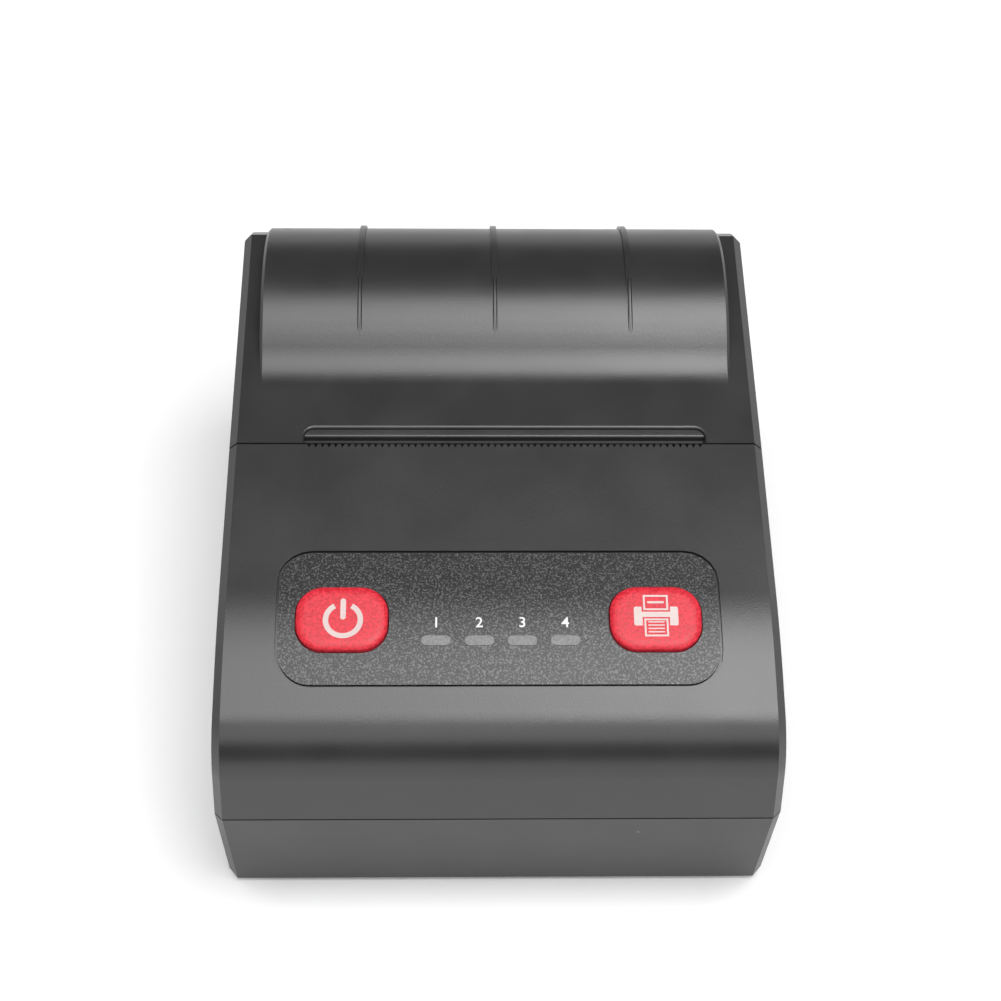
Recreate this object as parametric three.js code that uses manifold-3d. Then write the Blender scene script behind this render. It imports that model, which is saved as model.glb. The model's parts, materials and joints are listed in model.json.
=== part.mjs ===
// Portable receipt printer for a small paper roll, with a cover that hinges at the rear.
// Millimetres, +Z up, front towards -Y. The origin is under the middle of the case,
// on the surface that the rubber feet stand on.

import * as THREE from 'three';
import { mergeVertices } from 'three/addons/utils/BufferGeometryUtils.js';
import Module from 'manifold-3d';

const wasm = await Module();
wasm.setup();

// Case: its side profile runs along X, its sides draft inwards above and below the parting line.
const caseHalfWidth = 41;
const wall = 1.8;
const edgeChamfer = 1.2;
const sideDraftAngle = 1.6;
const footStandoff = 1;
const frontReach = 51.05;
const frontToeSetback = 3;
const rearToeSetback = 1.8;
const shoulderSetback = 1.72;
const shoulderDrop = 12;
const shoulderRadius = 10.2;
const browSetback = 17.75;
const browRadius = 60;
const seamReach = 1.15;
const seamHeight = 47.5;
const deckSlopeAngle = 9.5;
const lidSlopeAngle = 8.2;
const seamGap = 0.25;

// Clearances that pieces share, and how far a cut runs past what it cuts.
const fit = 0.3;
const overrun = 8;

// Roll cover: a drum over the paper roll, with thin fins across it.
const drumDrop = 12.4;
const drumRadius = 21.6;
const flankRadius = 20.95;
const drumEndShoulder = 4.6;
const drumEndChamfer = 0.45;
const drumRootRadius = 11.3;
const drumSkirtRise = 4;
const finCount = 3;
const finPitch = 21;
const finWidth = 0.9;
const finRise = 0.5;
const finMiddleAngle = 62;
const finHalfSpanAngle = 61;

// Hinge: a barrel along the cover's rear edge, two lugs on the lower case, one steel pin.
const barrelRadius = 3.1;
const hingeRunningGap = 0.4;
const hingeBucketGap = 0.3624;
const hingeDrop = 4.2;
const lugRadius = 2.5;
const lugSetback = 8.2;
const lugWidth = 4.2;
const lugSlotReach = 3.3;
const hingePinRadius = 1.25;
const hingePinSetback = 3;

// Paper path: its middle lies a little to the right of the case's middle.
const paperX = 1.3;
const slotSideRoom = 1.7;
const slotDepthY = 3.35;
const slotDepthZ = 2.4;
const slotCornerCut = 1.3;
const paperGap = 1;
const slotFloorThickness = 1.3;
const slotBackThickness = 1.2;
const toothPitch = 1;
const toothDepth = 0.6;
const toothWidthShare = 0.82;

// Control panel: a textured film in a shallow recess, two keys and four light windows.
const panelSideMargin = 9.25;
const panelDepth = 20.4;
const panelSetback = 20.85;
const panelCornerRadius = 4.8;
const panelRecess = 0.5;
const filmThickness = 0.35;
const panelEdgeGap = 0.25;
const keyEndInset = 9.25;
const keyOffset = 0.8;
const keyWidth = 13.6;
const keyDepth = 10.8;
const keyCornerRadius = 4.4;
const keyRise = 0.9;
const keyCrown = 0.55;
const keyFlangeReach = 1.2;
const keyFlangeThickness = 0.8;
const keyFlangeDrop = 0.6;
const keyStemRadius = 2;
const keyTravel = 0.5;
const lampCount = 4;
const lampPitchShare = 0.1965;
const lampMiddleX = 0.25;
const lampOffset = 3.2;
const lampWidthShare = 0.697;
const lampDepth = 1.6;
const lampPipeLength = 3.4;

// Key board under the panel, hung from two posts.
const boardThickness = 1.2;
const keyBoardDrop = 7.2;
const keyBoardInset = 2.75;
const keyBoardDepth = 15;
const keyPostInset = 11;
const keyPostY = 4;
const keyPostRadius = 1.8;
const switchWidth = 6;
const switchHeight = 1.5;
const switchPlungerRadius = 1.6;
const switchPlungerHeight = 0.4;
const chipWidth = 2;
const chipDepth = 1.2;
const chipHeight = 0.7;

// Platen roller, carried by the cover.
const platenProud = 0.05;
const platenDrop = 9;
const platenRadius = 5;
const platenShaftRadius = 2;
const bushRadius = 3.25;
const bushWidth = 2.4;
const bushEarGap = 0.25;
const earGap = 0.35;
const earThickness = 0.9;
const earRadius = 3.6;
const platenBeamDepth = 5.6;
const platenBeamThickness = 1.6;
const platenBeamSetback = 3.9;

// Print head, pressed against the roller by two springs.
const headEndRoom = 3;
const headHeight = 10.6;
const ceramicThickness = 0.9;
const ceramicEdge = 1.4;
const sinkThickness = 1.8;
const headPivotDrop = 5;
const headKnuckleRadius = 2;
const headPinRadius = 1;
const springRadius = 1.9;
const springWireRadius = 0.35;
const springTurns = 4;
const springStepsPerTurn = 8;
const springEndInset = 9;
const springRise = 1.1;
const springSeatGap = 0.6;

// Print mechanism frame: two side plates and two bars.
const framePlateThickness = 1.2;
const frameFrontReach = 15.8;
const frameRearReach = 4.6;
const frameBucketGap = 0.95;
const frameTopRise = 4.7;
const frameJawRise = 0.7;
const frameBarThickness = 1.2;
const frameBarDrop = 4.9;
const frameFootDepth = 2.2;
const frameFootHeight = 2;
const jawOpeningAngle = 68;
const jawFlareAngle = 30;

// Gear train: motor pinion, compound reduction gear, platen gear.
const gearModule = 0.5;
const pressureAngle = 25;
const addendumShare = 0.8;
const dedendumShare = 1.05;
const gearBacklash = 0.16;
const flankShares = [0, 0.4, 1];
const platenGearTeeth = 21;
const reductionSmallTeeth = 12;
const reductionLargeTeeth = 30;
const pinionTeeth = 10;
const platenGearWidth = 3;
const pinionWidth = 1.6;
const gearStackGap = 0.4;
const gearPlateGap = 1.6;
const gearWallGap = 1.2;
const reductionDirection = -107.5;
const motorDirection = -128.3;
const axleRadius = 1;
const motorRadius = 7.5;
const motorLength = 12;
const motorEarReach = 3;
const motorEarThickness = 0.8;
const motorShaftRadius = 0.8;
const motorShaftEntry = 2.5;

// Paper bucket, an open trough with two end walls.
const bucketRadius = 18;
const bucketWall = 1.1;
const bucketSideRoom = 0.5;
const bucketLipRise = 2.3;
const bucketRearDrop = 5.1;
const bucketFrontFootReach = 17.85;
const bucketRearFootReach = 14.15;
const bucketFlangeWidth = 3.2;
const bucketFlangeHeight = 1.6;
const bucketScrewSetback = 3.45;

// Battery pack under the bucket, behind a screwed door in the underside.
const batterySideInset = 1.5;
const batteryBucketGap = 1.9;
const batteryCorner = 1.5;
const doorBucketGap = 1.2;
const doorFrontInset = 0.8;
const doorRearOverlap = 0.4;
const doorTabWidth = 11;
const doorTabReach = 6.4;
const doorTabThickness = 1.6;
const doorPadHeight = 1.4;
const doorHookWidth = 6;
const doorHookInset = 10;
const doorHookReach = 1.6;
const doorHookThickness = 0.9;
const doorBossRadius = 2.8;
const doorBossHeight = 6.5;
const doorScrewLength = 5;

// Main board and what stands on it.
const mainBoardZ = 8;
const mainBoardSideGap = 10.5;
const mainBoardFrontGap = 7.05;
const mainBoardRearGap = 3;
const mainBoardTabWidth = 11;
const mainBoardPostInset = 3;
const mainBoardPostRadius = 2;
const socketFreeShare = 0.8424;
const socketWidth = 8.9;
const socketHeight = 3.2;
const socketLength = 7.3;
const socketWall = 0.4;
const socketTongueThickness = 0.7;
const socketTongueInset = 1.6;
const socketSetback = 0.4;
const radioWidth = 13;
const radioDepth = 10;
const radioHeight = 2.2;
const radioEdgeInset = 14.5;
const radioSetforward = 10;
const plugWidth = 8;
const plugDepth = 5;
const plugHeight = 4.5;
const plugFlexGap = 1.7;
const plugSetforward = 4;

// Sensors and the flat cable of the print head.
const paperSensorWidth = 6;
const paperSensorDepth = 2;
const paperSensorHeight = 4;
const paperSensorDrop = 9.5;
const coverSensorWidth = 3;
const coverSensorDepth = 6;
const coverSensorHeight = 4;
const coverSensorSetback = 5;
const coverSensorDrop = 5.5;
const flexWidth = 18;
const flexThickness = 0.3;
const flexBend = 4;

// Case screws, their bosses, and the feet.
const screwSideInset = 5.8;
const screwFrontInset = 10.05;
const screwFrameGap = 4.3;
const bossRadius = 3;
const counterboreRadius = 2.8;
const counterboreRoof = 4;
const counterboreWall = 1;
const screwHeadRadius = 2.3;
const screwHeadHeight = 1.4;
const screwShankRadius = 1.2;
const screwShankLength = 11;
const driveWidth = 0.7;
const driveLength = 3;
const driveDepth = 0.9;
const smallScrewShare = 0.75;
const footSideInset = 10;
const footFrontInset = 18.05;
const footRearInset = 10.6;
const footRadius = 3.5;
const footSeat = 0.7;

// Places across the width, from the case's sides inwards.
const drumHalfWidth = caseHalfWidth - drumEndShoulder;
const lugInnerX = caseHalfWidth - lugSetback;
const hingePinHalfLength = caseHalfWidth - hingePinSetback;
const screwX = caseHalfWidth - screwSideInset;
const footX = caseHalfWidth - footSideInset;
const mainBoardHalfWidth = caseHalfWidth - mainBoardSideGap;
const radioX = radioEdgeInset - mainBoardHalfWidth;
const plugX = paperX + (flexWidth + plugWidth) / 2 + plugFlexGap;
const panelWidth = 2 * (caseHalfWidth - panelSideMargin);
const keySpacing = panelWidth - 2 * keyEndInset;
const keyBoardWidth = panelWidth - 2 * keyBoardInset;
const keyPostX = keySpacing / 2 - keyPostInset;
const lampPitch = (keySpacing - keyWidth) * lampPitchShare;
const lampWidth = lampPitch * lampWidthShare;
const gearTrainWidth = gearPlateGap + platenGearWidth + pinionWidth + 2 * gearStackGap;
const frameHalfSpan = caseHalfWidth - wall - gearWallGap - gearTrainWidth - framePlateThickness / 2 + paperX;
const platenHalfLength = frameHalfSpan - bushWidth / 2 - bushEarGap - earThickness - earGap;
const headHalfLength = platenHalfLength - headEndRoom;
const springSpacing = 2 * (headHalfLength - springEndInset);
const paperSlotHalfLength = platenHalfLength + slotSideRoom;
const bucketHalfLength = platenHalfLength + bucketSideRoom;
const doorHalfWidth = bucketHalfLength - paperX - doorBucketGap;
const batteryHalfWidth = doorHalfWidth - batterySideInset;
const doorHookSpacing = 2 * (doorHalfWidth - doorHookInset);

// Places from front to rear: the panel follows the front face, the rest follows the paper path.
const frontToeReach = frontReach - frontToeSetback;
const shoulderReach = frontReach - shoulderSetback;
const browReach = frontReach - browSetback;
const panelCentreY = panelSetback - frontReach;
const keyY = panelCentreY - keyOffset;
const screwFrontY = screwFrontInset - frontReach;
const footFrontY = footFrontInset - frontReach;
const mainBoardFrontY = mainBoardFrontGap - frontReach;
const platenY = paperGap - seamReach + platenRadius - platenProud;
const frameFrontY = platenY - frameFrontReach;
const frameRearY = platenY + frameRearReach;
const coverSensorY = frameFrontY + coverSensorSetback;
const screwRearY = frameFrontY - screwFrameGap;
const mainBoardRearY = frameFrontY - mainBoardRearGap;
const lowerBossRadius = counterboreRadius + counterboreWall;
const socketRoom = screwRearY - screwFrontY - 2 * lowerBossRadius - socketWidth;
const socketY = screwFrontY + lowerBossRadius + socketRoom * socketFreeShare + socketWidth / 2;
const radioY = mainBoardRearY - radioSetforward;
const plugY = mainBoardRearY - plugSetforward;
const drumCentreY = frameRearY + frameBucketGap + bucketRadius + bucketWall;
const rearReach = drumCentreY + flankRadius;
const rearToeReach = rearReach - rearToeSetback;
const hingeY = rearReach - barrelRadius;
const footRearY = rearToeReach - footRearInset;
const bucketFootFrontY = drumCentreY - bucketFrontFootReach;
const bucketFootRearY = drumCentreY + bucketRearFootReach;
const bucketScrewY = drumCentreY - bucketScrewSetback;
const doorFrontY = bucketFootFrontY + doorFrontInset;
const doorRearY = bucketFootRearY + doorRearOverlap;

// Heights: the drum, the roller and the shoulder hang from the seam, and the hinge clears the bucket.
const shoulderHeight = seamHeight - shoulderDrop;
const drumCentreZ = seamHeight - drumDrop;
const platenZ = seamHeight - platenDrop;
const headPivotZ = platenZ - headPivotDrop;
const springZ = platenZ + springRise;
const frameTopZ = platenZ + frameTopRise;
const frameRearJawZ = platenZ + frameJawRise;
const frameBarBottomZ = platenZ - frameBarDrop;
const paperSensorZ = platenZ - paperSensorDrop;
const coverSensorZ = platenZ - coverSensorDrop;
const bucketLipZ = drumCentreZ + bucketLipRise;
const bucketRearZ = drumCentreZ - bucketRearDrop;
const bucketOuterRadius = bucketRadius + bucketWall;
const batteryHeight = drumCentreZ - bucketOuterRadius - batteryBucketGap - footStandoff - wall - fit;
const partingHeight = drumCentreZ - Math.sqrt(
  (bucketOuterRadius + barrelRadius + hingeBucketGap) ** 2 - (hingeY - drumCentreY) ** 2);

// How finely round shapes are stepped, in degrees.
const arcStep = 7.5;
const bendStep = 2.5;
const cornerStep = 18;
const roundStep = 20;
const postStep = 30;
const drumStep = 5;

// Angles and outlines.
const radians = THREE.MathUtils.degToRad;
const degrees = THREE.MathUtils.radToDeg;

function point(y, z) {
  return new THREE.Vector2(y, z);
}

function polar(centre, radius, angle) {
  return point(centre.x + radius * Math.cos(radians(angle)), centre.y + radius * Math.sin(radians(angle)));
}

// Points along an arc, both ends included.
function arc(centre, radius, fromAngle, toAngle, step = arcStep) {
  const count = Math.max(1, Math.ceil(Math.abs(toAngle - fromAngle) / step));
  return Array.from({ length: count + 1 }, (_, index) =>
    polar(centre, radius, fromAngle + ((toAngle - fromAngle) * index) / count));
}

function circle(centre, radius, step = roundStep) {
  return arc(centre, radius, 0, 360, step).slice(0, -1);
}

// A closed outline whose corners may each be rounded to a radius.
function rounded(corners) {
  return corners.flatMap(({ at, radius, step = cornerStep }, index) => {
    if (!radius) return [at];
    const before = corners[(index + corners.length - 1) % corners.length].at;
    const after = corners[(index + 1) % corners.length].at;
    const back = before.clone().sub(at).normalize();
    const ahead = after.clone().sub(at).normalize();
    const halfOpening = Math.acos(back.dot(ahead)) / 2;
    const centre = at.clone().addScaledVector(
      back.clone().add(ahead).normalize(), radius / Math.sin(halfOpening));
    const start = at.clone().addScaledVector(back, radius / Math.tan(halfOpening)).sub(centre);
    const end = at.clone().addScaledVector(ahead, radius / Math.tan(halfOpening)).sub(centre);
    const turn = degrees(Math.atan2(start.cross(end), start.dot(end)));
    const fromAngle = degrees(start.angle());
    return arc(centre, radius, fromAngle, fromAngle + turn, step);
  });
}

// A rectangle about the origin with round corners, anticlockwise.
function roundedRectangle(width, depth, radius) {
  const x = width / 2;
  const y = depth / 2;
  return rounded([[x, y], [-x, y], [-x, -y], [x, -y]].map(([u, v]) => ({ at: point(u, v), radius })));
}

// Moves every side of a closed anticlockwise outline inwards by one distance.
function inset(outline, distance) {
  const count = outline.length;
  return outline.map((at, index) => {
    const arrive = at.clone().sub(outline[(index + count - 1) % count]).normalize();
    const leave = outline[(index + 1) % count].clone().sub(at).normalize();
    const normal = point(-arrive.y - leave.y, arrive.x + leave.x).normalize();
    return at.clone().addScaledVector(normal, distance / (normal.y * arrive.x - normal.x * arrive.y));
  });
}

// Solids and how they join.
function solidOf(geometry) {
  const bare = geometry.clone();
  bare.deleteAttribute('normal');
  bare.deleteAttribute('uv');
  const merged = mergeVertices(bare);
  return new wasm.Manifold(new wasm.Mesh({
    numProp: 3,
    vertProperties: Float32Array.from(merged.attributes.position.array),
    triVerts: Uint32Array.from(merged.index.array),
  }));
}

function geometryOf(solid) {
  const { vertProperties, triVerts } = solid.getMesh();
  const geometry = new THREE.BufferGeometry();
  geometry.setAttribute('position', new THREE.BufferAttribute(vertProperties, 3));
  geometry.setIndex(new THREE.BufferAttribute(triVerts, 1));
  return geometry;
}

function join(...solids) {
  return solids.flat().reduce((whole, piece) => whole.add(piece));
}

function cut(solid, ...tools) {
  return tools.flat().reduce((whole, tool) => whole.subtract(tool), solid);
}

// A plan outline raised from one height to another, with its rims chamfered if asked.
function columnGeometry(outline, bottom, top, chamfer = 0) {
  return new THREE.ExtrudeGeometry(new THREE.Shape(outline), {
    depth: top - bottom - 2 * chamfer,
    bevelEnabled: chamfer > 0,
    bevelThickness: chamfer,
    bevelSize: chamfer,
    bevelOffset: -chamfer,
    bevelSegments: 1,
  }).translate(0, 0, bottom + chamfer);
}

function column(outline, bottom, top, chamfer) {
  return solidOf(columnGeometry(outline, bottom, top, chamfer));
}

// A side-view outline in Y and Z, drawn out along X.
function slabGeometry(outline, left, right, chamfer) {
  const lying = new THREE.Matrix4().makeBasis(
    new THREE.Vector3(0, 1, 0), new THREE.Vector3(0, 0, 1), new THREE.Vector3(1, 0, 0));
  return columnGeometry(outline, left, right, chamfer).applyMatrix4(lying);
}

function slab(outline, left, right, chamfer) {
  return solidOf(slabGeometry(outline, left, right, chamfer));
}

function brick([left, right], [front, rear], [bottom, top]) {
  const corners = [point(left, front), point(right, front), point(right, rear), point(left, rear)];
  return column(corners, bottom, top);
}

function block(x, y, width, depth, bottom, height) {
  return brick([x - width / 2, x + width / 2], [y - depth / 2, y + depth / 2], [bottom, bottom + height]);
}

function rod(centre, radius, left, right) {
  return slab(circle(centre, radius), left, right);
}

function post(x, y, radius, bottom, top) {
  return column(circle(point(x, y), radius, postStep), bottom, top);
}

// Leans a shell's sides inwards as they leave the parting line.
function drafted(geometry, direction) {
  const places = geometry.attributes.position;
  for (let index = 0; index < places.count; index += 1) {
    const away = direction * (places.getZ(index) - partingHeight);
    places.setX(index, places.getX(index) * (1 - (away * Math.tan(radians(sideDraftAngle))) / caseHalfWidth));
  }
  return geometry;
}

// Finishes: colour, roughness and metalness of each kind of surface.
const finishes = {
  charcoal: ['#3a3a3b', 0.42, 0],
  film: ['#18181a', 0.6, 0],
  red: ['#d8202c', 0.45, 0],
  lamp: ['#a9abab', 0.35, 0],
  rubber: ['#1c1c1c', 0.9, 0],
  platenRubber: ['#2a2a2a', 0.75, 0],
  steel: ['#b9bcc0', 0.32, 1],
  darkPlastic: ['#222223', 0.5, 0],
  whitePlastic: ['#e6e4dc', 0.5, 0],
  board: ['#1f5a34', 0.5, 0],
  aluminium: ['#c4c6c8', 0.4, 1],
  ceramic: ['#e9e5da', 0.3, 0],
  wrap: ['#2b4a7d', 0.45, 0],
  flex: ['#b9722c', 0.4, 0],
};

const printer = new THREE.Group();

// Adds one named piece to the printer, or to a group that is placed in it.
function add(name, shape, finish, place = printer) {
  const [color, roughness, metalness] = finishes[finish];
  const geometry = shape.isBufferGeometry ? shape : geometryOf(shape);
  const piece = new THREE.Mesh(geometry, new THREE.MeshStandardMaterial({ color, roughness, metalness }));
  piece.name = name;
  place.add(piece);
  return piece;
}

// Side profile of the case, from the front toe up over the deck and cover to the rear toe.
const hinge = point(hingeY, partingHeight);
const drumCentre = point(drumCentreY, drumCentreZ);
const seam = point(-seamReach, seamHeight);
const lidDirection = polar(point(0, 0), 1, lidSlopeAngle);
const lidNormal = point(-lidDirection.y, lidDirection.x);
const lidRise = seam.dot(lidNormal) - drumCentre.dot(lidNormal);
const browHeight = seamHeight - (browReach - seamReach) * Math.tan(radians(deckSlopeAngle));

// The rearmost place where the cover's flat slope meets the round rear edge.
const crestAngle = lidSlopeAngle + degrees(Math.asin(lidRise / flankRadius));
const profile = rounded([
  { at: point(rearToeReach, footStandoff) },
  { at: point(rearReach, partingHeight) },
  ...arc(drumCentre, flankRadius, 0, crestAngle).map((at) => ({ at })),
  { at: seam },
  { at: point(-browReach, browHeight), radius: browRadius, step: bendStep },
  { at: point(-shoulderReach, shoulderHeight), radius: shoulderRadius, step: arcStep },
  { at: point(-frontReach, partingHeight) },
  { at: point(-frontToeReach, footStandoff) },
]);
const innerProfile = inset(profile, wall);

// Height and slope of the case's upper surface at a place along Y.
function surfaceHeight(y, outline = profile) {
  return Math.max(...outline.map((start, index) => {
    const end = outline[(index + 1) % outline.length];
    const share = (y - start.x) / (end.x - start.x);
    return share >= 0 && share <= 1 ? start.y + share * (end.y - start.y) : 0;
  }));
}

const tiltSpan = keyDepth / 2;
const panelTilt = Math.atan2(
  surfaceHeight(keyY + tiltSpan) - surfaceHeight(keyY - tiltSpan), 2 * tiltSpan);

function shell(outline, halfWidth, chamfer, direction) {
  return solidOf(drafted(slabGeometry(outline, -halfWidth, halfWidth, chamfer), direction));
}

const everyX = [-caseHalfWidth - overrun, caseHalfWidth + overrun];
const everyY = [-frontReach - overrun, frontReach + overrun];
const skyZ = drumCentreZ + drumRadius + overrun;
const upperZone = brick(everyX, everyY, [partingHeight + seamGap / 2, skyZ]);
const lowerZone = brick(everyX, everyY, [-overrun, partingHeight - seamGap / 2]);
const frontZone = brick(everyX, [everyY[0], -seamReach - seamGap / 2], [-overrun, skyZ]);
const rearZone = brick(everyX, [-seamReach + seamGap / 2, everyY[1]], [-overrun, skyZ]);
const innerHalfWidth = caseHalfWidth - wall;
const upperCase = shell(profile, caseHalfWidth, edgeChamfer, 1).intersect(upperZone);
const upperHollow = shell(innerProfile, innerHalfWidth, 0, 1);
const lowerCase = shell(profile, caseHalfWidth, edgeChamfer, -1).intersect(lowerZone);
const lowerHollow = shell(innerProfile, innerHalfWidth, 0, -1);
const floorTop = footStandoff + wall;

// Things placed on the tilted panel share one frame: its Z axis stands square to the film.
const panelPlace = new THREE.Group();
panelPlace.position.set(0, keyY, surfaceHeight(keyY));
panelPlace.rotation.x = panelTilt;
panelPlace.updateMatrix();
printer.add(panelPlace);

function onPanel(geometry, x, y) {
  return solidOf(geometry.translate(x, y, 0).applyMatrix4(panelPlace.matrix));
}

const keyPlaces = [['power', -keySpacing / 2], ['feed', keySpacing / 2]];
const lampPlaces = Array.from({ length: lampCount }, (_, index) =>
  lampMiddleX + (index - (lampCount - 1) / 2) * lampPitch);
const throughPanel = [-keyBoardDrop / 2, overrun];

function keyOpening(x) {
  const outline = roundedRectangle(keyWidth + 2 * fit, keyDepth + 2 * fit, keyCornerRadius + fit);
  return onPanel(columnGeometry(outline, ...throughPanel), x, 0);
}

function lampOpening(x) {
  const outline = roundedRectangle(lampWidth + 2 * fit, lampDepth + 2 * fit, lampDepth / 2 + fit);
  return onPanel(columnGeometry(outline, ...throughPanel), x, -lampOffset);
}

const panelOpenings = [
  ...keyPlaces.map(([, x]) => keyOpening(x)),
  ...lampPlaces.map(lampOpening),
];

function panelOutline(grow) {
  const outline = roundedRectangle(panelWidth + 2 * grow, panelDepth + 2 * grow, panelCornerRadius + grow);
  return outline.map((at) => at.clone().add(point(0, panelCentreY)));
}

// Lower case: a tray with screw bosses, hinge lugs, board posts and cut-outs.
const screwPlaces = [screwFrontY, screwRearY].flatMap((y) => [-screwX, screwX].map((x) => [x, y]));
const footPlaces = [footFrontY, footRearY].flatMap((y) => [-footX, footX].map((x) => [x, y]));
const counterboreTop = partingHeight - seamGap / 2 - counterboreRoof;
const boardPostPlaces = [mainBoardFrontY + mainBoardPostInset, mainBoardRearY - mainBoardPostInset]
  .flatMap((y) => [-1, 1].map((side) => [side * (mainBoardHalfWidth - mainBoardPostInset), y]));
const bucketScrewPlaces = [-1, 1].map((side) =>
  [paperX + side * (bucketHalfLength + bucketWall + bucketFlangeWidth / 2), bucketScrewY]);

function hingeLug(side) {
  const inner = side * lugInnerX;
  const outer = side * (lugInnerX + lugWidth);
  const stem = hingeY + lugRadius - wall;
  const outline = [
    point(hingeY - lugRadius, floorTop - wall / 2),
    point(stem, floorTop - wall / 2),
    point(stem, partingHeight - hingeDrop - wall),
    point(hingeY + lugRadius, partingHeight - hingeDrop),
    ...arc(hinge, lugRadius, 0, 180),
  ];
  return slab(outline, Math.min(inner, outer), Math.max(inner, outer));
}

function pinBore(centre, radius) {
  return rod(centre, radius, ...everyX);
}

const smallHeadRadius = screwHeadRadius * smallScrewShare;
const smallHeadHeight = screwHeadHeight * smallScrewShare;
const smallShankRadius = screwShankRadius * smallScrewShare;
const doorTabFrontY = doorFrontY - doorTabReach;
const doorBossY = (doorTabFrontY + doorFrontY) / 2;
const doorScrewTop = floorTop + doorBossHeight;

function doorOpening() {
  const bay = brick([-doorHalfWidth, doorHalfWidth], [doorFrontY, doorRearY], [0, floorTop + fit]);
  const tab = brick([-doorTabWidth / 2, doorTabWidth / 2], [doorTabFrontY, doorFrontY + fit],
    [0, footStandoff + doorTabThickness + fit / 2]);
  return join(bay, tab);
}

function socketMouth() {
  const width = socketWidth + 2 * fit;
  const bottom = mainBoardZ + boardThickness - fit / 2;
  return brick([innerHalfWidth - overrun / 2, everyX[1]], [socketY - width / 2, socketY + width / 2],
    [bottom, bottom + socketHeight + 2 * fit]);
}

const lowerBosses = [
  ...screwPlaces.map(([x, y]) =>
    post(x, y, lowerBossRadius, floorTop - wall / 2, partingHeight - seamGap / 2)),
  ...boardPostPlaces.map(([x, y]) =>
    post(x, y, mainBoardPostRadius, floorTop - wall / 2, mainBoardZ - fit / 2)),
  brick([-doorTabWidth / 2 - wall, doorTabWidth / 2 + wall], [doorTabFrontY - wall, doorFrontY - fit],
    [floorTop - wall / 2, floorTop + doorPadHeight]),
  post(0, doorBossY, doorBossRadius, floorTop - wall / 2, doorScrewTop),
];
const hingeClearance = join(
  rod(hinge, barrelRadius + hingeRunningGap, ...everyX),
  brick(everyX, [hingeY, everyY[1]], [partingHeight - hingeDrop, skyZ]),
);
const screwBores = screwPlaces.flatMap(([x, y]) => [
  post(x, y, counterboreRadius, -overrun, counterboreTop),
  post(x, y, screwShankRadius + fit, -overrun, skyZ),
]);
const floorBores = [
  ...footPlaces.map(([x, y]) => post(x, y, footRadius + fit, -overrun, footStandoff + footSeat + fit / 2)),
  ...bucketScrewPlaces.flatMap(([x, y]) => [
    post(x, y, smallHeadRadius + fit, -overrun, footStandoff + smallHeadHeight),
    post(x, y, smallShankRadius + fit, -overrun, floorTop + fit),
  ]),
  post(0, doorBossY, smallShankRadius + fit / 2, -overrun, doorScrewTop - wall / 2),
];
const lowerTray = join(cut(lowerCase, lowerHollow, hingeClearance), lowerBosses, hingeLug(-1), hingeLug(1));
add('lower_case', cut(lowerTray, screwBores, floorBores, doorOpening(), socketMouth(),
  pinBore(hinge, hingePinRadius + fit / 2)), 'charcoal');

// Front shell: the deck, the front face and the serrated tearing edge at the paper slot.
const slotLeft = paperX - paperSlotHalfLength;
const slotRight = paperX + paperSlotHalfLength;

function tearingNotches() {
  const count = Math.floor((slotRight - slotLeft) / toothPitch) - 1;
  const edge = -seamReach - seamGap / 2;
  const half = (toothPitch * toothWidthShare) / 2;
  const first = paperX - ((count - 1) * toothPitch) / 2;
  return Array.from({ length: count }, (_, index) => {
    const x = first + index * toothPitch;
    return column([point(x, edge - toothDepth), point(x + half, edge + fit), point(x - half, edge + fit)],
      seamHeight - wall - overrun / 2, skyZ);
  });
}

function panelRecessCut() {
  return cut(column(panelOutline(panelEdgeGap), partingHeight, skyZ),
    slab(inset(profile, panelRecess), ...everyX));
}

function shellBoss(place) {
  const solid = post(...place, bossRadius, partingHeight + seamGap / 2, skyZ);
  return cut(solid, post(...place, screwShankRadius + fit / 2, -overrun,
    counterboreTop + screwShankLength + fit));
}

function keyBoardPost(side) {
  const outline = circle(point(0, 0), keyPostRadius, postStep);
  return onPanel(columnGeometry(outline, -keyBoardDrop + fit / 2, 0), side * keyPostX, keyPostY);
}

const shellInside = slab(inset(profile, wall / 2), ...everyX);
const shellPosts = join(screwPlaces.map(shellBoss), keyBoardPost(-1), keyBoardPost(1)).intersect(shellInside);
add('front_shell', cut(join(cut(upperCase.intersect(frontZone), upperHollow), shellPosts),
  panelRecessCut(), panelOpenings, tearingNotches()), 'charcoal');

// Film on the panel: it follows the deck's bend.
const filmBottom = panelRecess - fit / 6;
const filmBand = cut(slab(inset(profile, filmBottom - filmThickness), ...everyX),
  slab(inset(profile, filmBottom), ...everyX));
const filmSheet = column(panelOutline(0), partingHeight, skyZ).intersect(filmBand);
add('control_overlay', cut(filmSheet, panelOpenings), 'film');

// Keys: a crowned cap, a flange that holds it behind the deck, and a stem.
const flangeTop = -wall - keyFlangeDrop;
const keyBoardTop = -keyBoardDrop;
const stemBottom = keyBoardTop + switchHeight + switchPlungerHeight + keyTravel + fit;

function keyShape() {
  const cap = columnGeometry(roundedRectangle(keyWidth, keyDepth, keyCornerRadius),
    flangeTop - keyFlangeThickness / 2 - keyCrown, keyRise, keyCrown);
  const flange = column(roundedRectangle(keyWidth + 2 * keyFlangeReach, keyDepth + 2 * keyFlangeReach,
    keyCornerRadius + keyFlangeReach), flangeTop - keyFlangeThickness, flangeTop);
  return join(solidOf(cap), flange, post(0, 0, keyStemRadius, stemBottom, flangeTop));
}

for (const [name, x] of keyPlaces) {
  add(`${name}_button`, keyShape(), 'red', panelPlace).position.x = x;
}

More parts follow.
